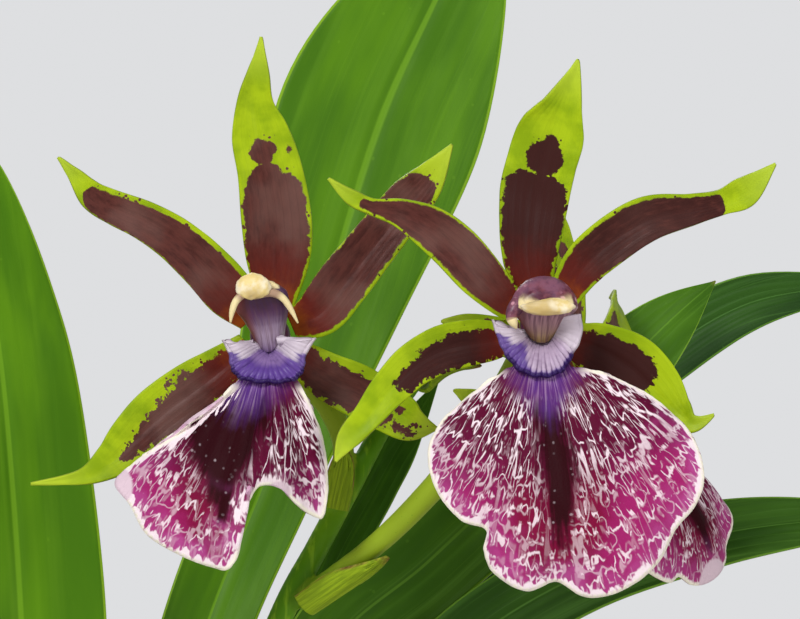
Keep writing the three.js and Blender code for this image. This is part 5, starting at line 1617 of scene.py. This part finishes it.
# Pseudobulbs: furrowed eggs, flat on top where the leaves stand, each in a papery sheath on one side
bulbLook = {
    "bottom": 108,
    "top": 178,
    "profile": [5, 10.5, 13.2, 13.6, 12.6, 10.8, 8.8, 6.9],
    "rows": 70,
    "sides": 80,
    "furrows": 9,
    "furrowDepth": 0.5,
    "green": "#7d9a3a",
    "yellow": "#a9ad55",
    "deep": "#55752a",
    "scar": "#7a6a3c",
}
sheathLook = {
    "rows": 60,
    "columns": 48,
    "stations": (0.24, 0.36, 0.48, 0.6, 0.72, 0.82),
    "taper": (1, 1, 1, 1, 0.75, 0.1),
    "arc": 62,
    "offset": 1.2,
    "flare": 1.2,
    "torn": 1.6,
    "thickness": 0.7,
    "tan": "#b99b66",
    "pale": "#d6c193",
    "dark": "#7b5c34",
}


def makeBulbFinish():
    look = bulbLook
    finish, tree = newFinish("pseudobulbSkin", roughness=0.4, shine=0.45)
    at = addNode(tree, "TexCoord").outputs["Object"]
    furrow, height = field(tree, "furrow"), field(tree, "height")
    drift = noise(tree, at, 45.0, 4.0)
    fibre = streaks(tree, at, (700, 700, 50), 3.0)
    skin = tint(tree, look["green"], look["yellow"], drift, 0.38, 0.62)
    skin = tint(tree, skin, look["deep"], furrow, 0.2, 0.9, 0.6)
    skin = tint(tree, skin, look["yellow"], fibre, 0.56, 0.7, 0.35)
    worn = calc(tree, "MAXIMUM", ease(tree, height, 0.22, 0.05), ease(tree, height, 0.975, 0.995))
    skin = blend(tree, times(tree, worn, ease(tree, drift, 0.3, 0.55)), skin, look["scar"])
    specks = ease(tree, cells(tree, at, 420.0), 0.16, 0.08, 0.0, 0.5)
    skin = blend(tree, specks, skin, look["scar"])
    return cover(finish, skin, timesPlus(tree, fibre, 0.6, drift), 0.2, 0.6)


def makeSheathFinish():
    look = sheathLook
    finish, tree = newFinish("paperSheath", roughness=0.72, shine=0.25)
    at = field(tree, "bladeAt", "Vector")
    share = field(tree, "share")
    fibre = streaks(tree, at, (2.2, 0.05, 1), 4.0, 0.7)
    blotch = noise(tree, at, 0.12, 4.0)
    skin = tint(tree, look["dark"], look["tan"], fibre, 0.36, 0.64)
    skin = tint(tree, skin, look["pale"], blotch, 0.45, 0.65, 0.7)
    skin = tint(tree, skin, look["dark"], share, 0.75, 1.0, 0.5)
    return cover(finish, skin, timesPlus(tree, blotch, 0.5, fibre), 0.3, 0.9)


def makeBulb(name, bulb, bulbFinish, sheathFinish, seed):
    look = bulbLook
    height = np.linspace(0, 1, look["rows"])
    radius = along(look["profile"], height)
    low, high = look["bottom"], look["top"]
    # rounded shoulders at the top scar and the foot
    profile = [(0.02, low), (radius[0] * 0.6, low)] + list(zip(radius, low + (high - low) * height))
    profile += [(radius[-1] * 0.55, high), (0.02, high)]
    rings, angle = turnedRings(profile, look["sides"])
    share = (rings[..., 2] - low) / (high - low)
    wobble = softNoise(seed, angle * 1.0, waves=4)[None] * 0.3
    furrow = np.abs(np.cos(look["furrows"] / 2 * (angle[None] + 0.16 * np.sin(share * 3 + seed)))) ** 6
    swell = smoothStep(0.0, 0.15, share) * smoothStep(1.0, 0.86, share)
    shrink = 1 - (furrow * look["furrowDepth"] * swell + wobble * swell) / 13
    rings[..., 0] *= shrink
    rings[..., 1] *= shrink
    fields = {"furrow": (furrow * swell).ravel(), "height": share.ravel()}
    points = rings + np.array([bulb["x"], bulb["y"], 0])
    piece = addMesh("pseudobulb" + name, points.reshape(-1, 3), loftFaces(*rings.shape[:2]), fields)
    dress(piece, bulbFinish, "pseudobulb", nodeName(piece.name))
    # its sheath
    look = sheathLook
    azimuth = math.radians(bulb["sheathAzimuth"])
    out = np.array([math.cos(azimuth), math.sin(azimuth), 0])
    blade = {"path": [], "half": [], "curl": [look["arc"] * k for k in look["taper"]], "face": [-out, -out]}
    for i, station in enumerate(look["stations"]):
        radius = float(along(bulbLook["profile"], np.array([station]))[0]) + look["offset"]
        flare = look["flare"] if i == len(look["stations"]) - 1 else 0
        centre = np.array([bulb["x"], bulb["y"], low + (high - low) * station])
        blade["path"].append(centre + out * (radius + flare))
        blade["half"].append(radius * math.radians(look["arc"]) * look["taper"][i])
    middle, t, u, half, down = bladeGrid(blade, look)
    relief = 0.10 * softNoise(seed + 3, u * half * 1.3, t * 2)
    relief += 0.30 * softNoise(seed + 4, u * 2, down * 0.10)
    relief += 0.5 * smoothStep(0.7, 1, np.abs(u)) * softNoise(seed + 5, down * 0.25)
    middle = middle - gridNormals(middle) * np.maximum(relief, -0.25)[..., None]
    # the papery top is torn into short fibres
    middle[..., 2] += smoothStep(0.8, 1.0, t) * look["torn"] * softNoise(seed + 6, u * half * 2.4)
    fields = {"bladeAt": flatAt(u * half + 43.0 * seed, down), "share": t}
    piece = sheetPiece("bulbSheath" + name, middle, thinned(look["thickness"], u, t, 0.4), fields)
    dress(piece, sheathFinish, "dry_sheath", nodeName(piece.name))


bulbFinish, sheathFinish = makeBulbFinish(), makeSheathFinish()
for number, (name, bulb) in enumerate(bulbs.items()):
    makeBulb(name, bulb, bulbFinish, sheathFinish, seed=8 + 9 * number)
print("pseudobulbs and sheaths made")


# The rhizome creeps from bulb to bulb, half sunk, with roots over the bark
rootLook = {
    "rhizome": [(-24, 30, 108), (-20, 18, 106), (-16, 2, 106), (-10, -16, 106), (6, -14, 105),
                (22, -8, 106), (22, 10, 106), (14, 26, 106), (10, 36, 108)],
    "rhizomeRadii": [4, 5, 5, 5, 4.6, 5, 5, 5, 4],
    "roots": [
        [(-12, -18, 105), (-21, -26, 109), (-31, -32, 117.6), (-41, -35, 117), (-47, -36, 111),
         (-49, -37, 104)],
        [(-18, 6, 106), (-27, 5, 110), (-36, 3, 117.8), (-46, -3, 117.2), (-54, -6, 112), (-57, -6, 104)],
        [(23, 2, 106), (32, 5, 110), (41, 9, 118), (50, 13, 116.4), (56, 15, 111), (58, 15.5, 104)],
        [(-6, -17, 105), (-5, -26, 109), (-8, -36, 118), (-15, -46, 117.4), (-14, -54, 112),
         (-14, -57, 104)],
        [(11, 33, 106), (6, 42, 111), (0, 48, 117.5), (-7, 53, 115.5), (-11, 56, 111), (-11, 58, 104)],
    ],
    "rootRadii": [2, 1.9, 1.8, 1.7, 1.5, 1.2],
    "rhizomeRows": 90,
    "rhizomeSides": 28,
    "rootRows": 70,
    "rootSides": 16,
    "velvet": "#cfc6ac",
    "grey": "#9a927c",
    "green": "#8a9a5c",
    "brown": "#6d5236",
}


def makeRootFinish():
    look = rootLook
    finish, tree = newFinish("rootVelvet", roughness=0.85, shine=0.2)
    at = addNode(tree, "TexCoord").outputs["Object"]
    drift = noise(tree, at, 90.0, 4.0)
    fine = noise(tree, at, 900.0, 3.0)
    skin = tint(tree, look["velvet"], look["grey"], drift, 0.4, 0.62)
    skin = tint(tree, skin, look["green"], noise(tree, at, 40.0, 2.0), 0.55, 0.68, 0.5)
    skin = tint(tree, skin, look["brown"], fine, 0.6, 0.72, 0.6)
    skin = blend(tree, field(tree, "woody"), skin, look["brown"])
    return cover(finish, skin, calc(tree, "ADD", drift, fine), 0.25, 0.8)


def makeRoots(finish):
    look = rootLook
    points, faces, woody = [], [], []
    bones = [(look["rhizome"], look["rhizomeRadii"], look["rhizomeRows"], look["rhizomeSides"])]
    bones += [(root, look["rootRadii"], look["rootRows"], look["rootSides"]) for root in look["roots"]]
    for number, (path, radii, rows, sides) in enumerate(bones):
        rings, t, angle = tubeRings(path, radii, rows, sides)
        centre = rings.mean(1, keepdims=True)
        bumps = 1 + 0.08 * softNoise(number, angle[None] * 2, t[:, None] * 30)
        bumps = bumps + 0.05 * softNoise(number + 9, t * 50)[:, None]
        rings = centre + (rings - centre) * bumps[..., None]
        addLoft(points, faces, rings)
        woody.append(np.full(rows * sides, 0.7 if number == 0 else 0.0))
    piece = addMesh("rhizomeAndRoots", np.concatenate(points), faces, {"woody": np.concatenate(woody)})
    dress(piece, finish, "root", "rhizome_and_roots")


makeRoots(makeRootFinish())
print("rhizome and roots made")


# Bark mix: a crumbly body with seeded chips lying over its crown, clear of all that grows in it
barkLook = {
    "bottom": 6.3,
    "edge": 114,
    "crown": 118,
    "shoulder": (44, 116.5),
    "gap": 4.95,
    "sides": 180,
    "chips": 620,
    "triesPerChip": 8,
    "bedTone": 0.25,
    "chipLength": (5, 12),
    "chipCorners": 7,
    "bulbRoom": 13.0,
    "rootRoom": 2.6,
    "scapeRoom": 4.4,
    "reach": 64,
    "brown": "#6b4629",
    "dark": "#2f1d12",
    "light": "#a17a52",
    "red": "#7a3f24",
    "seed": 7,
}
potLook = {
    "height": 130,
    "baseRadius": 55,
    "topRadius": 75,
    "wall": 4.5,
    "floor": 6,
    "rimHeight": 22,
    "rimStep": 3,
    "rounding": 1.1,
    "holeRadius": 5,
    "holeCircle": 30,
    "holes": 4,
    "drillSides": 32,
    "drillPast": 5,
    "sides": 192,
    "sharpFrom": 40,
    "clay": "#b8683f",
    "clayLight": "#cf8a5f",
    "clayDeep": "#8f4a2b",
    "lime": "#dcc3a8",
}


def wallRadius(height, inset):
    spread = potLook["topRadius"] - potLook["rimStep"] - potLook["baseRadius"]
    return potLook["baseRadius"] + spread * height / potLook["height"] - inset


def mixLevel(reach):
    radius, height = barkLook["shoulder"]
    edge = wallRadius(barkLook["edge"], barkLook["gap"])
    return np.interp(reach, [0, radius, edge], [barkLook["crown"], height, barkLook["edge"]])


def makeBarkFinish():
    look = barkLook
    finish, tree = newFinish("pineBark", roughness=0.92, shine=0.2)
    at = addNode(tree, "TexCoord").outputs["Object"]
    tone = field(tree, "tone")
    layers = streaks(tree, at, (220, 220, 900), 4.0, 0.65)
    drift = noise(tree, at, 260.0, 3.0)
    skin = blend(tree, tone, look["brown"], look["red"])
    skin = tint(tree, skin, look["light"], calc(tree, "ADD", tone, layers), 1.05, 1.45, 0.7)
    skin = tint(tree, skin, look["dark"], layers, 0.5, 0.34, 0.85)
    skin = tint(tree, skin, look["light"], drift, 0.58, 0.72, 0.4)
    return cover(finish, skin, calc(tree, "ADD", layers, drift), 0.5, 0.9)


def barkChip(dice, centre):
    # an uneven slab with a broken edge
    look = barkLook
    corners = look["chipCorners"]
    length = dice.uniform(*look["chipLength"])
    width, depth = length * dice.uniform(0.45, 0.8), length * dice.uniform(0.18, 0.34)
    angle = turns(corners) + dice.uniform(-0.25, 0.25, corners)
    outline = np.stack([length / 2 * np.cos(angle), width / 2 * np.sin(angle)], -1)
    outline = outline * dice.uniform(0.78, 1.12, (corners, 1))
    rings = []
    for share, height in ((0.8, -0.5), (1.0, -0.05), (0.84, 0.5)):
        ring = np.column_stack([outline * share, np.full(corners, height * depth)])
        rings.append(ring + dice.uniform(-0.05, 0.05, (corners, 3)) * length)
    points = np.concatenate(rings)
    spin, tilt, lean = dice.uniform(0, 2 * math.pi), dice.normal(0, 0.28), dice.normal(0, 0.28)
    turn = np.array([[math.cos(spin), -math.sin(spin), 0], [math.sin(spin), math.cos(spin), 0], [0, 0, 1]])
    tip = np.array([[1, 0, 0], [0, math.cos(tilt), -math.sin(tilt)], [0, math.sin(tilt), math.cos(tilt)]])
    roll = np.array([[math.cos(lean), 0, math.sin(lean)], [0, 1, 0], [-math.sin(lean), 0, math.cos(lean)]])
    return points @ turn.T @ tip.T @ roll.T + centre


def makeMix(finish):
    look = barkLook
    edge, low = look["edge"], look["bottom"]
    profile = [(0.02, low), (wallRadius(low, look["gap"]) - 1.5, low),
               (wallRadius(low, look["gap"]), low + 1.5)]
    profile += [(wallRadius(h, look["gap"]), h) for h in np.linspace(low + 6, edge - 1.2, 12)]
    rim = wallRadius(edge, look["gap"])
    profile += [(r, float(mixLevel(r)) - 1.2) for r in np.linspace(rim - 1, 0.5, 60)]
    rings, angle = turnedRings(profile, look["sides"])
    top = slice(15, None)
    rings[top, :, 2] += 0.7 * softNoise(31, rings[top, :, 0] * 0.4, rings[top, :, 1] * 0.4, waves=9)
    points, faces = [], []
    addLoft(points, faces, rings)
    tones = [np.full(len(points[0]), look["bedTone"])]
    # clear of the bulbs, the roots and the scape
    keepOut = [(np.array([[bulb["x"], bulb["y"]]]), look["bulbRoom"]) for bulb in bulbs.values()]
    keepOut += [(along(path, np.linspace(0, 1, 40))[:, :2], look["rootRoom"]) for path in rootLook["roots"]]
    keepOut.append((np.array([stemLook["rachis"][0][:2]]), look["scapeRoom"]))
    dice = np.random.RandomState(look["seed"])
    laid = 0
    for attempt in range(look["chips"] * look["triesPerChip"]):
        reach, azimuth = look["reach"] * math.sqrt(dice.uniform()), dice.uniform(0, 2 * math.pi)
        x, y = reach * math.cos(azimuth), reach * math.sin(azimuth)
        centre = np.array([x, y, float(mixLevel(reach)) - 0.6 + dice.uniform(-0.8, 1.4)])
        chip = barkChip(dice, centre)
        flat = chip[:, :2]
        blocked = any((((flat[:, None] - path[None]) ** 2).sum(-1) < room ** 2).any()
                      for path, room in keepOut)
        if blocked or np.hypot(*flat.T).max() > rim - 0.3:
            continue
        addLoft(points, faces, chip.reshape(-1, look["chipCorners"], 3))
        tones.append(np.full(len(chip), dice.uniform(0, 1)))
        laid += 1
        if laid == look["chips"]:
            break
    piece = addMesh("barkMix", np.concatenate(points), faces, {"tone": np.concatenate(tones)}, smooth=False)
    dress(piece, finish, "bark", "bark_mix")
    print("bark mix made with", laid, "chips")


makeMix(makeBarkFinish())


# Terracotta pot, turned, with rounded corners and drain holes through its floor
def makeClayFinish():
    look = potLook
    finish, tree = newFinish("terracotta", roughness=0.86, shine=0.25)
    at = addNode(tree, "TexCoord").outputs["Object"]
    drift = noise(tree, at, 18.0, 4.0)
    rings = streaks(tree, at, (4, 4, 420), 3.0)
    fine = noise(tree, at, 1500.0, 3.0)
    skin = tint(tree, look["clay"], look["clayLight"], drift, 0.38, 0.62)
    skin = tint(tree, skin, look["clayDeep"], rings, 0.55, 0.7, 0.35)
    skin = tint(tree, skin, look["clayDeep"], fine, 0.6, 0.72, 0.35)
    height = addNode(tree, "SeparateXYZ", {0: at}).outputs["Z"]
    bloomed = times(tree, ease(tree, noise(tree, at, 34.0, 5.0, 0.65), 0.52, 0.68),
                    ease(tree, height, 0.105, 0.01, 0.15, 0.75))
    skin = blend(tree, bloomed, skin, look["lime"])
    return cover(finish, skin, timesPlus(tree, fine, 0.3, rings), 0.25, 0.7)


def rounded(corners, reach, steps=5):
    # a profile whose inner corners are turned in short arcs
    corners = [np.array(c, float) for c in corners]
    profile = [corners[0]]
    for before, corner, after in zip(corners, corners[1:], corners[2:]):
        gapIn, gapOut = np.linalg.norm(before - corner), np.linalg.norm(after - corner)
        cut = min(reach, gapIn * 0.45, gapOut * 0.45)
        start, end = corner + (before - corner) / gapIn * cut, corner + (after - corner) / gapOut * cut
        for t in np.linspace(0, 1, steps):
            profile.append((1 - t) ** 2 * start + 2 * t * (1 - t) * corner + t * t * end)
    profile.append(corners[-1])
    return profile


def makePot(finish):
    look = potLook
    rimBottom, wall = look["height"] - look["rimHeight"], look["wall"]
    profile = rounded([
        (0.02, 0),
        (look["baseRadius"], 0),
        (wallRadius(rimBottom, 0), rimBottom),
        (wallRadius(rimBottom, 0) + look["rimStep"], rimBottom),
        (look["topRadius"], look["height"]),
        (wallRadius(look["height"], wall), look["height"]),
        (wallRadius(look["floor"], wall), look["floor"]),
        (0.02, look["floor"]),
    ], look["rounding"])
    rings, angle = turnedRings(profile, look["sides"])
    pot = addMesh("clayPot", rings.reshape(-1, 3), loftFaces(len(profile), look["sides"]), {})
    drills, faces = [], []
    sides, past = look["drillSides"], look["drillPast"]
    turnAt = turns(sides)
    for i in range(look["holes"]):
        angle = 2 * math.pi * (i + 0.5) / look["holes"]
        x, y = look["holeCircle"] * math.cos(angle), look["holeCircle"] * math.sin(angle)
        for z in (-past, look["floor"] + past):
            drills.append(np.column_stack([x + look["holeRadius"] * np.cos(turnAt),
                                           y + look["holeRadius"] * np.sin(turnAt), np.full(sides, z)]))
        faces += loftFaces(2, sides, 2 * sides * i)
    drill = addMesh("drill", np.concatenate(drills), faces, {})
    cut = pot.modifiers.new("drainHoles", "BOOLEAN")
    cut.operation, cut.solver, cut.object = "DIFFERENCE", "EXACT", drill
    drilled = settle(pot)
    bpy.data.objects.remove(drill)
    drilled.set_sharp_from_angle(angle=math.radians(look["sharpFrom"]))
    dress(pot, finish, "terracotta", "pot")


makePot(makeClayFinish())
print("pot made")


# A plain pale floor and backdrop in soft studio light, seen from the photo's angle
studio = {
    "floorSize": 6.0,
    "floor": "#d9d7d2",
    "floorShade": "#cfccc6",
    "fade": (0.7, 2.4),
    "background": "#e3e4e6",
    "seen": 0.95,
    "floorSeen": 0.932,
    "unlit": "#000000",
    "light": 0.42,
    "camera": (0.048, -0.875, 0.330),
    "sensor": 36.0,
    "lens": 223.3,
    "nearest": 0.05,
    "lamps": {
        "keyLamp": {"at": (-0.60, -1.30, 1.15), "size": 0.55, "power": 17.5},
        "fillLamp": {"at": (1.00, -1.10, 0.55), "size": 0.80, "power": 6.0},
        "rimLamp": {"at": (-0.30, 0.90, 1.10), "size": 0.60, "power": 6.0},
    },
    "lookAt": (0.02, -0.03, 0.30),
}


def makeFloor():
    look = studio
    reach = look["floorSize"] / 2 / toMetres
    corners = [(-reach, -reach, 0), (reach, -reach, 0), (reach, reach, 0), (-reach, reach, 0)]
    floor = addMesh("paleFloor", corners, [(0, 1, 2, 3)], {}, smooth=False)
    finish, tree = newFinish("palePaint", roughness=0.8, shine=0.2, Emission_Strength=look["floorSeen"])
    at = addNode(tree, "TexCoord").outputs["Object"]
    skin = tint(tree, look["floor"], look["floorShade"], noise(tree, at, 3.0), 0.3, 0.7, 0.15)
    # far from the pot the floor turns into the backdrop
    far = ease(tree, addNode(tree, "VectorMath", {0: at}, operation="LENGTH").outputs["Value"],
               *look["fade"])
    connect(tree, blend(tree, far, skin, look["unlit"]))
    connect(tree, blend(tree, far, look["unlit"], look["background"]), "Emission Color")
    floor.data.materials.append(finish)


def makeAir():
    # the backdrop looks brighter than it lights
    look = studio
    world = bpy.data.worlds.new("studioAir")
    world.use_nodes = True
    bpy.context.scene.world = world
    tree = world.node_tree
    tree.nodes.clear()
    colour = paint(look["background"])
    lit = addNode(tree, "Background", {"Color": colour, "Strength": look["light"]}).outputs[0]
    seen = addNode(tree, "Background", {"Color": colour, "Strength": look["seen"]}).outputs[0]
    looked = addNode(tree, "LightPath").outputs["Is Camera Ray"]
    mixed = addNode(tree, "MixShader", {0: looked, 1: lit, 2: seen}).outputs[0]
    addNode(tree, "OutputWorld", {"Surface": mixed})


def addLamp(name, lamp):
    light = bpy.data.lights.new(name, "AREA")
    light.shape, light.size, light.energy = "DISK", lamp["size"], lamp["power"]
    stand = bpy.data.objects.new(name, light)
    stand.location = lamp["at"]
    aim = Vector(studio["lookAt"]) - Vector(lamp["at"])
    stand.rotation_euler = aim.to_track_quat("-Z", "Y").to_euler()
    bpy.context.scene.collection.objects.link(stand)


def addCamera():
    look = studio
    camera = bpy.data.cameras.new("photoView")
    camera.sensor_width, camera.lens, camera.clip_start = look["sensor"], look["lens"], look["nearest"]
    eye = bpy.data.objects.new("photoView", camera)
    eye.location = look["camera"]
    eye.rotation_euler = (math.radians(90), 0, 0)
    bpy.context.scene.collection.objects.link(eye)
    bpy.context.scene.camera = eye
    bpy.context.scene.view_settings.view_transform = "Standard"


makeFloor()
makeAir()
for name, lamp in studio["lamps"].items():
    addLamp(name, lamp)
addCamera()
print("stage, lights and camera set")
